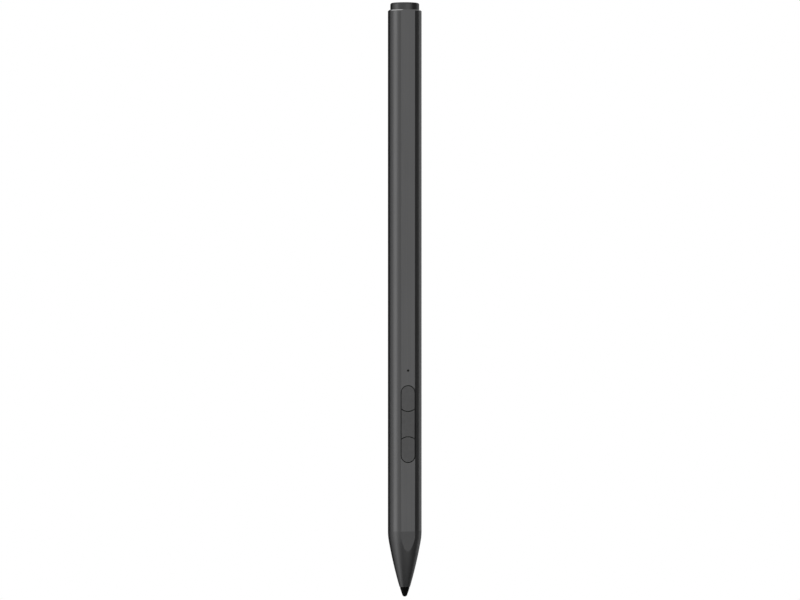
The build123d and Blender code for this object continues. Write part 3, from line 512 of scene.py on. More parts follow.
def cut_metal(name, level, rough):
    """Freshly cut aluminium: bright, with the fine rings that a lathe leaves."""
    material = new_finish(name, Metallic=1.0)
    rings = specks(material, size=0.02 * MM, drawn=(200, 200, 1))
    colour_by(material, rings, *shades(grey(level), darker=0.9, lighter=1.1))
    gloss_by(material, specks(material, size=1 * MM), low=rough - 0.03, high=rough + 0.03)
    raise_by(material, rings, height=0.0004 * MM)
    return material


flat_side = math.sqrt(BARREL_RADIUS**2 - FLAT**2)
barrel_finish = dyed_metal("dyed_barrel_metal", DYED, rough=0.31, draw=400)
# A painted highlight along the flat's long edges, lighter and patchy.
paint_edge_highlight(barrel_finish, across=flat_side, depth=FLAT, reach=0.06 * MM, highlight=grey(EDGE_HIGHLIGHT))
rim_finish = cut_metal("cut_rim_metal", level=BARE, rough=0.2)
print("barrel finishes", barrel_finish.name, rim_finish.name)

# %% Lay the finishes on the barrel
barrel.data.materials.append(barrel_finish)
barrel.data.materials.append(rim_finish)
LEAST_SLOPE, MOST_SLOPE = 0.3, 0.9
bpy.ops.object.mode_set(mode="EDIT")


def on_chamfer(face):
    """True for the sloped faces just under the rim."""
    return face.calc_center_median().z > RIM - RIM_CHAMFER and LEAST_SLOPE < face.normal.z < MOST_SLOPE


chamfer_faces = pick(barrel, "FACE", on_chamfer)
barrel.active_material_index = 1
bpy.ops.object.material_slot_assign()
fresh()
print("faces of the bright chamfer:", chamfer_faces)

# %% [markdown]
# ## The nose
# The nose leaves the barrel flush, bends in over a soft shoulder and runs down to the mouth in one long
# curve. It is turned from an outline of two arcs that share their direction where they meet, so no crease
# shows. The flat runs out on it as a tongue: a second, slightly tilted bisect, like one pass of a file,
# whose outline stays crisp.

# %% Outline and turning of the nose
nose_low, nose_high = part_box("nose_cone")
MOUTH = nose_low.z
NOSE_BAND = 0.1 * MM
SHOULDER_LENGTH = 2.7 * MM
SHOULDER_DROP = 0.24 * MM
SHOULDER_STEPS, TAPER_STEPS = 10, 48
MOUTH_LIP = 0.1 * MM
NIB_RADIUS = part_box("nib_tip")[1].x
MOUTH_BORE = NIB_RADIUS + RUN
MOUTH_RADIUS = MOUTH_BORE + MOUTH_LIP
GUIDE_BORE, NOSE_BORE = 1.9 * MM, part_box("force_sensor")[1].x + FIT
GUIDE_DEPTH, SENSOR_DEPTH = 3.86 * MM, 8.36 * MM
GUIDE_HEIGHT, SENSOR_HEIGHT = MOUTH + GUIDE_DEPTH, MOUTH + SENSOR_DEPTH
SPIGOT_RADIUS = BORE_RADIUS - FIT

shoulder_start = (BARREL_RADIUS, SEAM - NOSE_BAND)
shoulder_end = (BARREL_RADIUS - SHOULDER_DROP, SEAM - NOSE_BAND - SHOULDER_LENGTH)
shoulder, heading = arc_on(shoulder_start, (0, -1), shoulder_end, SHOULDER_STEPS)
taper = arc_on(shoulder_end, heading, (MOUTH_RADIUS, MOUTH), TAPER_STEPS)[0]
inside = [
    (MOUTH_BORE, MOUTH),
    (MOUTH_BORE, GUIDE_HEIGHT),
    (GUIDE_BORE, GUIDE_HEIGHT),
    (GUIDE_BORE, SENSOR_HEIGHT),
    (NOSE_BORE, SENSOR_HEIGHT),
    (NOSE_BORE, nose_high.z),
    (SPIGOT_RADIUS, nose_high.z),
    (SPIGOT_RADIUS, SEAM),
    (BARREL_RADIUS, SEAM),
    shoulder_start,
]
nose = turn("nose_shell", shoulder + taper[1:] + inside)
print("nose from", round(MOUTH / MM, 2), "to", round(SEAM / MM, 2), "mm up the pen")

# %% Tongue of the flat and flat of the spigot
TONGUE_SLOPE = 0.062
TONGUE_CREASE = 6
# The nose's tone is 0.93 of the dye's: a painted shade, for the darker look its downward slope gives it.
NOSE_SHADED = 0.93 * DYED
tongue_normal = Vector((0, -1, -TONGUE_SLOPE)).normalized()
cut(
    nose,
    block(
        "spigot_flat",
        (-BARREL_RADIUS, -BARREL_RADIUS - MM, SEAM),
        (BARREL_RADIUS, BORE_FLAT + FIT, nose_high.z + MM),
    ),
)
slice_off((0, FLAT, SEAM), tongue_normal)
close(nose, crease=TONGUE_CREASE)
hand_over(nose, "pen_body", "nose_plastic", "nose_cone")
nose.data.materials.append(dyed_metal("painted_nose", NOSE_SHADED, rough=0.4, draw=4))
print("tongue tilted by", round(math.degrees(math.atan(TONGUE_SLOPE)), 2), "degrees")

# %% [markdown]
# ## The nib
# The nib is a small moulded point pressed on a black rod. It is dull and quite black, with a round end that
# slides over glass, and a shallow lip breaks each of its edges. Both are turned from their outlines.

# %% Point and rod of the nib
NIB_TIP_RADIUS = 0.7 * MM
NIB_TAPER = 2.25 * MM
NIB_LIP = 0.06 * MM
SOCKET_RADIUS = 0.65 * MM
TIP_STEPS = 20
NIB_ROUND, ROD_ROUND = 128, 96
nib_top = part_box("nib_tip")[1].z
rod_low, rod_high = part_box("nib_core")
slope = math.atan((NIB_RADIUS - NIB_TIP_RADIUS) / (NIB_TAPER - NIB_TIP_RADIUS))
nib_outline = arc((0, NIB_TIP_RADIUS), NIB_TIP_RADIUS, -90, -math.degrees(slope), TIP_STEPS)
nib_outline += [
    (NIB_RADIUS - NIB_LIP / 2, NIB_TAPER - NIB_LIP),
    (NIB_RADIUS, NIB_TAPER + NIB_LIP),
    (NIB_RADIUS, nib_top - NIB_LIP),
    (NIB_RADIUS - NIB_LIP, nib_top),
    (SOCKET_RADIUS, nib_top),
    (SOCKET_RADIUS, rod_low.z),
    (0, rod_low.z),
]
nib = turn("nib_point", nib_outline, steps=NIB_ROUND)
close(nib)
hand_over(nib, "nib", "nib_plastic", "nib_tip")

ROD_CHAMFER = 0.2 * MM
rod_outline = [
    (0, rod_low.z),
    (rod_high.x, rod_low.z),
    (rod_high.x, rod_high.z - ROD_CHAMFER),
    (rod_high.x - ROD_CHAMFER, rod_high.z),
    (0, rod_high.z),
]
nib_rod = turn("nib_rod", rod_outline, steps=ROD_ROUND)
close(nib_rod)
hand_over(nib_rod, "nib", "nib_carbon", "nib_core")

# %% Finish of the nib
NIB_TONE, ROD_TONE = 0.001, 0.008
COLOUR_PATCH, GLOSS_PATCH = 20, 8


def moulded(name, colour, rough, grain, relief, shine=0.5):
    """Moulded plastic: an even tone with the fine eroded grain of its mould."""
    material = new_finish(name, Specular_IOR_Level=shine)
    patches = specks(material, size=COLOUR_PATCH * grain)
    sheen = specks(material, size=GLOSS_PATCH * grain)
    colour_by(material, patches, *shades(colour, darker=0.9, lighter=1.1))
    gloss_by(material, sheen, low=rough - 0.04, high=rough + 0.04)
    raise_by(material, specks(material, size=grain, detail=4.0), height=relief)
    return material


nib_black = moulded(
    "nib_black", grey(NIB_TONE), rough=0.55, grain=0.06 * MM, relief=0.0015 * MM, shine=0.05
)
rod_black = moulded(
    "rod_black", grey(ROD_TONE), rough=0.35, grain=0.05 * MM, relief=0.001 * MM, shine=0.3
)
nib.data.materials.append(nib_black)
nib_rod.data.materials.append(rod_black)
print("nib finishes", nib_black.name, rod_black.name)

# %% [markdown]
# ## Side keys and the bridge between them
# Each key is a moulded cap that fills one end of the slot, full round outside and gently bulged inside. A
# fixed bridge fills the room between them. All three lie level with the flat, so only the hairline gaps
# draw them. The outline is traced once as arcs, filled, and extruded inwards, and a tiny bevel breaks its
# upper edge. A flange under each cap, wider than the slot, keeps it from falling out.

# %% Outline of a key
KEY_LENGTH = lower_high.z - lower_low.z
KEY_SIDE = SLOT_WIDTH / 2 - KEY_GAP
KEY_BULGE = 0.65 * MM
KEY_CORNER = 0.3 * MM
END_STEPS, CORNER_STEPS, BULGE_STEPS = 48, 8, 24
BULGE_RADIUS = (KEY_SIDE**2 + KEY_BULGE**2) / (2 * KEY_BULGE)
BULGE_MIDDLE = KEY_LENGTH - BULGE_RADIUS


def key_outline():
    """Points across the key and up from its round outer end."""
    corner_x = KEY_SIDE - KEY_CORNER
    corner_up = math.sqrt((BULGE_RADIUS - KEY_CORNER) ** 2 - corner_x**2)
    corner_angle = math.degrees(math.atan2(corner_up, corner_x))
    corner_z = BULGE_MIDDLE + corner_up
    points = arc((0, KEY_SIDE), KEY_SIDE, 180, 360, END_STEPS)
    points += arc((corner_x, corner_z), KEY_CORNER, 0, corner_angle, CORNER_STEPS)
    points += arc((0, BULGE_MIDDLE), BULGE_RADIUS, corner_angle, 180 - corner_angle, BULGE_STEPS)[1:]
    points += arc((-corner_x, corner_z), KEY_CORNER, 180 - corner_angle, 180, CORNER_STEPS)[1:]
    return points + points[:1]


def cap(name, points, top, depth, edge):
    """A plate with that outline, pressed inwards from its top, its upper edge broken."""
    piece = trace(name, [(x, top, z) for x, z in points])
    bpy.ops.mesh.remove_doubles(threshold=MERGE)
    bpy.ops.mesh.edge_face_add()
    bpy.ops.mesh.extrude_region_move(TRANSFORM_OT_translate={"value": (0, depth - top, 0)})
    seal()
    pick(piece, "EDGE", lambda part: all_near(part, Y, top))
    bpy.ops.mesh.bevel(offset=edge, segments=EDGE_STEPS)
    return piece


print("key outline of", len(key_outline()), "points")

# %% Lower key and upper key
KEY_EDGE = 0.05 * MM
FLANGE = 0.33 * MM
NUB_RADIUS = 0.6 * MM


def fit_foot(piece, low, high, nub_radius, nub_end):
    """Joins the flange and the round nub that sit under a cap."""
    side = lower_high.x
    cut(piece, block("flange", (-side, LEDGE - HAIR, low), (side, LEDGE + FLANGE, high)), "UNION")
    nub = pill_bar(
        "nub", 2 * nub_radius, 2 * nub_radius, (low + high) / 2, LEDGE + FLANGE - HAIR, nub_end
    )
    cut(piece, nub, "UNION")


for label, outer, way, body in (
    ("lower", lower_low.z, 1, "lower_side_key"),
    ("upper", upper_high.z, -1, "upper_side_key"),
):
    points = [(x, outer + way * z) for x, z in key_outline()]
    key = cap(label + "_key_cap", points, lower_low.y, LEDGE, KEY_EDGE)
    ends = sorted((outer + way * KEY_CORNER, outer + way * (KEY_LENGTH - KEY_CORNER)))
    fit_foot(key, ends[0], ends[1], NUB_RADIUS, lower_high.y)
    close(key)
    hand_over(key, body, "key_plastic", label + "_key")

# %% Bridge
BRIDGE_GAP = 0.2 * MM
BRIDGE_POST = 0.9 * MM
BRIDGE_FOOT = 3.075 * MM
BRIDGE_SIDE = SLOT_WIDTH / 2 - BRIDGE_GAP
bridge_low, bridge_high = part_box("key_bridge")
reach = BULGE_RADIUS + KEY_GAP
half_span = math.degrees(math.acos((bridge_low.z - lower_low.z - BULGE_MIDDLE) / reach))
hollow = arc((0, lower_low.z + BULGE_MIDDLE), reach, 90 + half_span, 90 - half_span, BULGE_STEPS)
lower_end = [(-BRIDGE_SIDE, bridge_low.z)] + hollow + [(BRIDGE_SIDE, bridge_low.z)]
upper_end = [(x, 2 * SLOT_MIDDLE - z) for x, z in reversed(lower_end)]
bridge = cap("bridge_cap", lower_end + upper_end + lower_end[:1], lower_low.y, LEDGE, KEY_EDGE)
fit_foot(bridge, SLOT_MIDDLE - BRIDGE_FOOT, SLOT_MIDDLE + BRIDGE_FOOT, BRIDGE_POST, bridge_high.y)
close(bridge)
hand_over(bridge, "pen_body", "key_plastic", "key_bridge")

# %% Finish of the keys
KEY_TONE = 0.046
key_finish = moulded("key_grey", grey(KEY_TONE), rough=0.42, grain=0.07 * MM, relief=0.002 * MM)
for piece in (bpy.data.objects["lower_key_cap"], bpy.data.objects["upper_key_cap"], bridge):
    piece.data.materials.append(key_finish)
print("keys finished in", key_finish.name)

# %% [markdown]
# ## The status lamp
# Above the keys a smoked rod carries the light of a small lamp out to the flat. It looks like a black dot.
# It is turned about a line across the pen, with a slightly domed end and the collar that stops it inside.

# %% Light pipe
LAMP_DOME = 0.05 * MM
LAMP_COLLAR = 0.7 * MM
COLLAR_THICKNESS = 0.3 * MM
LAMP_ROUND = 64
LENS_DARK, LENS_LIGHT = 0.001, 0.003
lamp_outline = [
    (0, lamp_low.y),
    (LAMP_RADIUS / 2, lamp_low.y + LAMP_DOME / 5),
    (LAMP_RADIUS - LAMP_DOME / 2, lamp_low.y + LAMP_DOME / 2),
    (LAMP_RADIUS, lamp_low.y + LAMP_DOME),
    (LAMP_RADIUS, LEDGE),
    (LAMP_COLLAR, LEDGE),
    (LAMP_COLLAR, LEDGE + COLLAR_THICKNESS),
    (LAMP_RADIUS, LEDGE + COLLAR_THICKNESS),
    (LAMP_RADIUS, lamp_high.y),
    (0, lamp_high.y),
]
lamp = trace("lamp_window", [(radius, depth, LAMP_Z) for radius, depth in lamp_outline])
bpy.ops.mesh.spin(steps=LAMP_ROUND, angle=2 * math.pi, center=(0, 0, LAMP_Z), axis=(0, 1, 0))
close(lamp)
hand_over(lamp, "pen_body", "smoked_lens", "light_pipe")
smoked = new_finish("smoked_lens", Roughness=0.3, Specular_IOR_Level=0.15)
colour_by(smoked, specks(smoked, size=0.2 * MM), dark=grey(LENS_DARK), light=grey(LENS_LIGHT))
lamp.data.materials.append(smoked)

# %% [markdown]
# ## The tail button
# The button is a hollow plastic cap in a dark metallic lacquer, with a stem inside for the switch. It
# stands a little proud of the rim. Its outline is turned in one go, with a rounded upper edge.

# %% Turn the button
BUTTON_ROUND = 0.5 * MM
BUTTON_STEPS = 12
BUTTON_WALL = 0.9 * MM
BUTTON_ROOF = 2.05 * MM
SKIRT_GAP = 0.6 * MM
STEM_RADIUS = 1.5 * MM
SNAP_RADIUS = 1.95 * MM
SNAP_HEIGHT = 0.8 * MM
LACQUER = 0.06
button_radius = button_high.x
cavity = button_radius - BUTTON_WALL
roof = button_high.z - BUTTON_ROOF
skirt = PLUG_TOP + SKIRT_GAP
round_middle = (button_radius - BUTTON_ROUND, button_high.z - BUTTON_ROUND)
button_outline = [(0, button_high.z)]
button_outline += arc(round_middle, BUTTON_ROUND, 90, 0, BUTTON_STEPS)
button_outline += [
    (button_radius, skirt),
    (cavity, skirt),
    (cavity, roof),
    (STEM_RADIUS, roof),
    (STEM_RADIUS, button_low.z + SNAP_HEIGHT),
    (SNAP_RADIUS, button_low.z + SNAP_HEIGHT),
    (SNAP_RADIUS, button_low.z),
    (0, button_low.z),
]
button = turn("tail_cap", button_outline)
close(button)
hand_over(button, "tail_push", "button_plastic", "tail_button")
button.data.materials.append(dyed_metal("button_lacquer", LACQUER, rough=0.34, draw=4))

# %% [markdown]
# ## The charging port
# The port in the back of the barrel is a drawn steel sleeve with a black tongue. The sleeve is a full-round
# bar whose end face is inset by the sheet's thickness and pushed in, and the tongue is a bevelled block on
# a base that closes the sleeve. The gold contacts on the tongue keep their solids.

# %% Sleeve of the port
SHEET = 0.3 * MM
SLEEVE_EDGE = 0.08 * MM
MOST_LEAN = 0.5
sleeve = pill_bar(
    "port_sleeve", port_high.z - port_low.z, port_high.x - port_low.x, PORT_Z, port_low.y, port_high.y
)
pick(sleeve, "FACE", lambda face: all_near(face, Y, port_high.y))
bpy.ops.mesh.inset(thickness=SHEET)
bpy.ops.mesh.extrude_region_move(
    TRANSFORM_OT_translate={"value": (0, port_low.y + SHEET - port_high.y, 0)}
)


def on_sleeve_rim(edge):
    """True for the outer and the inner edge of the sleeve's end, where the end meets a wall."""
    walls = [face for face in edge.link_faces if abs(face.normal.y) < MOST_LEAN]
    return len(walls) == 1 and all_near(edge, Y, port_high.y)


sleeve_edges = pick(sleeve, "EDGE", on_sleeve_rim)
bpy.ops.mesh.bevel(offset=SLEEVE_EDGE, segments=RIM_STEPS)
print("edges softened at the sleeve's end:", sleeve_edges)
close(sleeve)
hand_over(sleeve, "pen_body", "port_steel", "usb_shell")

# %% Tongue of the port
tongue_low, tongue_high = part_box("usb_tongue")
TONGUE_SIDE, TONGUE_END = 0.35 * MM, 3.345 * MM
TONGUE_BASE = 1.0 * MM
TONGUE_EDGE = 0.15 * MM
tongue = block(
    "port_tongue",
    (-TONGUE_SIDE, tongue_low.y + TONGUE_BASE / 2, PORT_Z - TONGUE_END),
    (TONGUE_SIDE, tongue_high.y, PORT_Z + TONGUE_END),
)
pick(tongue, "EDGE", lambda edge: all_near(edge, Y, tongue_high.y))
bpy.ops.mesh.bevel(offset=TONGUE_EDGE, segments=EDGE_STEPS)
base = pill_bar(
    "tongue_base",
    tongue_high.z - tongue_low.z,
    tongue_high.x - tongue_low.x,
    PORT_Z,
    tongue_low.y,
    tongue_low.y + TONGUE_BASE,
)
cut(tongue, base, "UNION")
close(tongue)
hand_over(tongue, "pen_body", "port_plastic", "usb_tongue")

# %% Finish of the port
STEEL_TONE, TONGUE_TONE = 0.38, 0.010


def drawn_metal(name, colour, rough):
    """Plain drawn metal: long faint lines and a soft gloss."""
    material = new_finish(name, Metallic=1.0)
    lines = specks(material, size=0.08 * MM, drawn=(1, 12, 1), detail=3.0)
    colour_by(material, lines, *shades(colour, darker=0.85, lighter=1.1))
    gloss_by(material, specks(material, size=0.6 * MM), low=rough - 0.05, high=rough + 0.05)
    raise_by(material, lines, height=0.0008 * MM)
    return material


sleeve_steel = drawn_metal("sleeve_steel", grey(STEEL_TONE), rough=0.28)
tongue_black = moulded("tongue_black", grey(TONGUE_TONE), rough=0.4, grain=0.05 * MM, relief=0.001 * MM)
sleeve.data.materials.append(sleeve_steel)
tongue.data.materials.append(tongue_black)
print("port finishes", sleeve_steel.name, tongue_black.name)

# %% [markdown]
# ## Springs and pads
# Four pieces give way when the pen is used: a spring and a silicone pad behind the nib, a spring under the
# tail button, and a foam disc that holds the cell. A spring is a wire wound with its first and last turn
# closed, so that it stands square. The winding is traced point by point, made a curve, and given the wire's
# thickness. The pads are turned with sides that swell a little, as squeezed rubber does. The two springs
# and the pad behind the nib each get a mesh of their own.

# %% Wind the springs
WINDING_STEPS = 32
WIRE_STEPS = 3
SPRING_TURNS = 7
CLOSED_CLIMB = 2.1
NIB_WIRE, TAIL_WIRE = 0.14 * MM, 0.15 * MM


def winding(radius, low, high, wire, turns):
    """Points along the wire's middle, from seat to seat, the end turns lying on their neighbours."""
    closed = CLOSED_CLIMB * wire
    live = (high - low - 2 * wire - 2 * closed) / (turns - 2)
    points = []
    for i in range(turns * WINDING_STEPS + 1):
        done = i / WINDING_STEPS
        ends = min(done, 1) + max(done - turns + 1, 0)
        climb = closed * ends + live * (done - ends)
        angle = 2 * math.pi * done
        points.append((radius * math.cos(angle), radius * math.sin(angle), low + wire + climb))
    return points


def spring(name, node, wire, turns):
    """A wire spring in the room of a solid."""
    low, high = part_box(node)
    piece = trace(name, winding(high.x - wire, low.z, high.z, wire, turns))
    bpy.ops.object.mode_set(mode="OBJECT")
    bpy.ops.object.convert(target="CURVE")
    piece = bpy.context.object
    piece.data.bevel_depth = wire
    piece.data.bevel_resolution = WIRE_STEPS
    piece.data.use_fill_caps = True
    bpy.ops.object.convert(target="MESH")
    piece = bpy.context.object
    piece.data.name = name
    bpy.ops.object.mode_set(mode="EDIT")
    close(piece)
    hand_over(piece, "pen_body", "spring_steel", node)
    return piece


nib_spring = spring("nib_return_spring", "nib_spring", NIB_WIRE, SPRING_TURNS)
tail_spring = spring("button_return_spring", "tail_spring", TAIL_WIRE, SPRING_TURNS)

# %% Turn the pads
PAD_STEPS = 16
PAD_ROUND = 96


def pad(name, node, slot):
    """A soft disc in the room of a solid, narrower at its two faces than in the middle."""
    low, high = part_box(node)
    half = (high.z - low.z) / 2
    core = (high.x - low.x) / 2 - half
    outline = [(0, low.z), *arc((core, low.z + half), half, -90, 90, PAD_STEPS), (0, high.z)]
    piece = turn(name, outline, steps=PAD_ROUND, back=(low.y + high.y) / 2)
    close(piece)
    hand_over(piece, "pen_body", slot, node)
    return piece


sensor_pad = pad("silicone_pad", "sensor_pad", "silicone_pad")
cell_foam = pad("foam_disc", "battery_foam", "foam")


def flatten(piece):
    """Gives a piece a mesh of its own."""
    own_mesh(piece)


flatten(nib_spring)
flatten(sensor_pad)
flatten(tail_spring)

# %% [markdown]
# ## What lies inside
# Boards, cell, magnets and switches keep their solids. Each takes the colour that the record gives its
# slot, and a pattern for the kind of material it is: moulded grain, drawn metal, film or rubber.

# %% Kinds of inner finish


def film(name, colour):
    """Thin glossy plastic film with faint ripples."""
    material = new_finish(name, Coat_Weight=0.3)
    colour_by(material, specks(material, size=0.9 * MM), *shades(colour, darker=0.8, lighter=1.15))
    gloss_by(material, specks(material, size=0.4 * MM), low=0.18, high=0.32)
    raise_by(material, specks(material, size=1.5 * MM), height=0.004 * MM)
    return material


def rubber(name, colour):
    """Dull, slightly dusty rubber or foam."""
    material = new_finish(name, Sheen_Weight=0.15)
    colour_by(material, specks(material, size=0.25 * MM), *shades(colour, darker=0.75, lighter=1.2))
    gloss_by(material, specks(material, size=0.5 * MM), low=0.65, high=0.85)
    raise_by(material, specks(material, size=0.12 * MM, detail=4.0), height=0.006 * MM)
    return material


def board_mask(name, colour):
    """Solder mask over copper: tracks run under it as slightly raised, paler lines."""
    material = new_finish(name, Coat_Weight=0.2)
    place = add_node(material, "TexCoord")
    tracks = add_node(
        material,
        "TexBrick",
        Scale=1 / MM,
        Mortar_Size=0.09,
        Mortar_Smooth=0.1,
        Brick_Width=0.9,
        Row_Height=0.45,
    )
    turned = add_node(material, "Mapping", Rotation=(math.pi / 2, 0, 0))
    link(material, place.outputs["Object"], turned.inputs["Vector"])
    link(material, turned.outputs["Vector"], tracks.inputs["Vector"])
    colour_by(material, tracks.outputs["Fac"], *shades(colour, darker=1, lighter=2.2), start=0.0, end=1.0)
    gloss_by(material, specks(material, size=0.3 * MM), low=0.28, high=0.4)
    raise_by(material, tracks.outputs["Fac"], height=0.02 * MM)
    return material


print("kinds of inner finish:", film.__name__, rubber.__name__, board_mask.__name__)

# %% Finish the inner pieces
SCREEN_GAMMA = 2.2


def inner_finish(entry):
    """The finish of one of the record's slots, from its class and colour."""
    colour = [channel**SCREEN_GAMMA for channel in entry["base_color"][:3]]
    name = "inner_" + entry["slot"]
    if entry["slot"] == "circuit_board":
        return board_mask(name, colour)
    if entry["class"] == "rubber":
        return rubber(name, colour)
    if entry["class"] == "gloss_plastic":
        return film(name, colour)
    if entry["class"] == "matte_plastic":
        return moulded(name, colour, rough=0.5, grain=0.08 * MM, relief=0.003 * MM)
    return drawn_metal(name, colour, rough=0.3)


node_slot = {row["node"]: row["material_slot"] for row in frame["record"]["subparts"]}
entries = {entry["slot"]: entry for entry in frame["record"]["materials"]}
shown = [name for name, node in frame["nodes"].items() if not node.hide_render]
inner_pieces = [(frame["nodes"][name], node_slot[name]) for name in shown]
inner_pieces += [(nib_spring, "spring_steel"), (tail_spring, "spring_steel")]
inner_pieces += [(sensor_pad, "silicone_pad"), (cell_foam, "foam")]
finishes = {slot: inner_finish(entries[slot]) for slot in sorted({slot for piece, slot in inner_pieces})}
for piece, slot in inner_pieces:
    piece.data.materials.clear()
    piece.data.materials.append(finishes[slot])
print(len(inner_pieces), "inner pieces in", len(finishes), "finishes")

# %% [markdown]
# ## The studio
# Satin metal has no colour of its own to speak of: it shows what stands round it. The pen hangs in a white
# room over a pale floor. One soft box in front lights the flat, one on the left draws the bright stripe,
# one far round on the right draws the thin line along that edge, and a fourth hangs above. Dark and grey
# cards, which only reflections see, give the round its dark sides and calm the right of the bright rim.
# The room is plain white where it is seen and dimmer as a light. The floor turns white away from the pen
# and keeps a soft shadow near it.

# %% Camera at the photo's angle
VIEW_TURN = math.radians(-12.5)
VIEW_DISTANCE = 1.1
VIEW_HEIGHT = 79.2 * MM
FIELD_WIDTH = 213.65 * MM
PAN = -1.27 * MM
SENSOR = 36.0
NEAREST = 0.01
out_to_view = Vector((math.sin(VIEW_TURN), -math.cos(VIEW_TURN), 0))
right_of_view = Vector((math.cos(VIEW_TURN), math.sin(VIEW_TURN), 0))

fresh()
stand = right_of_view * PAN + out_to_view * VIEW_DISTANCE + Vector((0, 0, VIEW_HEIGHT))
bpy.ops.object.camera_add(location=stand, rotation=(math.pi / 2, 0, VIEW_TURN))
camera = bpy.context.object
camera.data.sensor_width = SENSOR
camera.data.lens = SENSOR * VIEW_DISTANCE / FIELD_WIDTH
camera.data.clip_start = NEAREST
bpy.context.scene.camera = camera
print("camera lens", round(camera.data.lens, 1), "mm for a field", round(FIELD_WIDTH / MM, 1), "mm wide")

# %% White room
ROOM_FILL, ROOM_SEEN = 0.75, 1.0


def seen_directly(tree):
    """1 for the camera, for reflections and for light through glass, 0 for plain lighting."""
    path = tree.nodes.new("ShaderNodeLightPath")
    first, both = tree.nodes.new("ShaderNodeMath"), tree.nodes.new("ShaderNodeMath")
    first.operation = both.operation = "MAXIMUM"
    tree.links.new(path.outputs["Is Camera Ray"], first.inputs[0])
    tree.links.new(path.outputs["Is Glossy Ray"], first.inputs[1])
    tree.links.new(first.outputs[0], both.inputs[0])
    tree.links.new(path.outputs["Is Transmission Ray"], both.inputs[1])
    return both.outputs[0]


world = bpy.data.worlds.new("white_room")
world.use_nodes = True
bpy.context.scene.world = world
room = world.node_tree.nodes["Background"]
room.inputs["Color"].default_value = (1, 1, 1, 1)
strength = world.node_tree.nodes.new("ShaderNodeMapRange")
strength.inputs["To Min"].default_value = ROOM_FILL
strength.inputs["To Max"].default_value = ROOM_SEEN
world.node_tree.links.new(seen_directly(world.node_tree), strength.inputs["Value"])
world.node_tree.links.new(strength.outputs["Result"], room.inputs["Strength"])
print("room", world.name, "lights with", ROOM_FILL, "of the white that is seen")

# %% Pale floor
FLOOR_DROP = 16 * MM
FLOOR_SIZE = 8.0
FLOOR_TONE = 0.85
FADE_START, FADE_END = 0.03, 0.14
WHITE_NEAR, WHITE_FAR = 0.55, 1.0

fresh()
bpy.ops.mesh.primitive_plane_add(size=FLOOR_SIZE, location=(0, 0, -FLOOR_DROP))
floor = bpy.context.object
floor.name = "pale_floor"
paper = new_finish(
    "floor_paper",
    Base_Color=(FLOOR_TONE, FLOOR_TONE, FLOOR_TONE, 1),
    Roughness=0.9,
    Specular_IOR_Level=0.0,
)
place = add_node(paper, "TexCoord")
away = add_node(paper, "VectorMath")
away.operation = "LENGTH"
fade = add_node(
    paper, "MapRange", From_Min=FADE_START, From_Max=FADE_END, To_Min=WHITE_NEAR, To_Max=WHITE_FAR
)
share = add_node(paper, "Math")
share.operation = "MULTIPLY"
white = add_node(paper, "Emission", Strength=1.0)
blend = add_node(paper, "MixShader")
link(paper, place.outputs["Object"], away.inputs[0])
link(paper, away.outputs["Value"], fade.inputs["Value"])
link(paper, fade.outputs["Result"], share.inputs[0])
link(paper, seen_directly(paper.node_tree), share.inputs[1])
link(paper, share.outputs["Value"], blend.inputs["Fac"])
link(paper, paper.node_tree.nodes["Principled BSDF"].outputs["BSDF"], blend.inputs[1])
link(paper, white.outputs["Emission"], blend.inputs[2])
link(paper, blend.outputs["Shader"], paper.node_tree.nodes["Material Output"].inputs["Surface"])
floor.data.materials.append(paper)
floor.visible_glossy = False
print(floor.name, round(FLOOR_DROP / MM), "mm under the nib's point")

# %% Soft boxes and cards
middle = Vector((0, 0, PEN_LENGTH / 2))


def round_pen(turn_right, rise, distance):
    """A place round the pen, turned to the viewer's right and raised, both in degrees."""
    across, up = math.radians(turn_right), math.radians(rise)
    level_way = out_to_view * math.cos(across) + right_of_view * math.sin(across)
    return middle + distance * (level_way * math.cos(up) + Vector((0, 0, math.sin(up))))


def facing_pen(place):
    """The rotation that turns a lamp or card at a place towards the pen."""
    return (place - middle).to_track_quat("Z", "Y").to_euler()


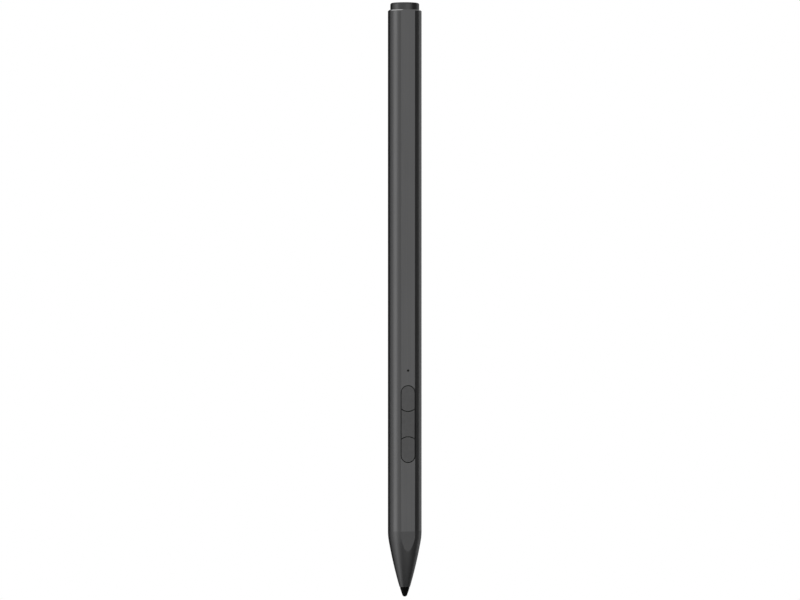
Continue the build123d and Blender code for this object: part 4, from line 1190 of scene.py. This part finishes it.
def soft_box(name, turn_right, rise, distance, width, height, glow_level):
    """A soft box whose surface is that much brighter than the white room behind it."""
    fresh()
    place = round_pen(turn_right, rise, distance)
    bpy.ops.object.light_add(type="AREA", location=place, rotation=facing_pen(place))
    box = bpy.context.object
    box.name = name
    box.data.shape = "RECTANGLE"
    box.data.size, box.data.size_y = width, height
    box.data.energy = glow_level * math.pi * width * height
    box.visible_camera = False
    print(name, "of", round(box.data.energy, 2), "W")


def card(name, turn_right, rise, distance, width, height, tone):
    """A card of that tone, seen by reflections alone."""
    fresh()
    place = round_pen(turn_right, rise, distance)
    bpy.ops.mesh.primitive_plane_add(size=1, location=place, rotation=facing_pen(place))
    sheet = bpy.context.object
    sheet.name = name
    sheet.scale = (width, height, 1)
    material = new_finish(name + "_tone")
    face = add_node(material, "Emission", Color=(tone, tone, tone, 1))
    link(material, face.outputs["Emission"], material.node_tree.nodes["Material Output"].inputs["Surface"])
    sheet.data.materials.append(material)
    sheet.visible_camera = sheet.visible_diffuse = sheet.visible_shadow = False
    sheet.visible_transmission = False
    print(name, "tone", tone)


soft_box("front_soft_box", turn_right=24, rise=4, distance=1.4, width=0.9, height=1.0, glow_level=0.45)
soft_box("left_soft_box", turn_right=-68, rise=0, distance=1.0, width=0.5, height=1.2, glow_level=1.4)
soft_box("right_soft_box", turn_right=131, rise=0, distance=1.0, width=0.42, height=1.2, glow_level=1.2)
soft_box("top_soft_box", turn_right=-120, rise=60, distance=1.0, width=0.7, height=0.7, glow_level=0.5)
card("right_dark_card", turn_right=87, rise=0, distance=0.8, width=0.9, height=1.8, tone=0.23)
card("left_dark_card", turn_right=-153, rise=0, distance=0.8, width=1.1, height=1.2, tone=0.04)
card("low_dark_card", turn_right=20, rise=-52, distance=0.8, width=1.6, height=0.55, tone=0.08)
card("high_grey_card", turn_right=125, rise=58, distance=0.8, width=0.9, height=0.6, tone=0.4)

# %% [markdown]
# ## Hand the pen over
# The picture keeps plain colours, with no film look.

# %% Plain colours
bpy.context.scene.view_settings.view_transform = "Standard"
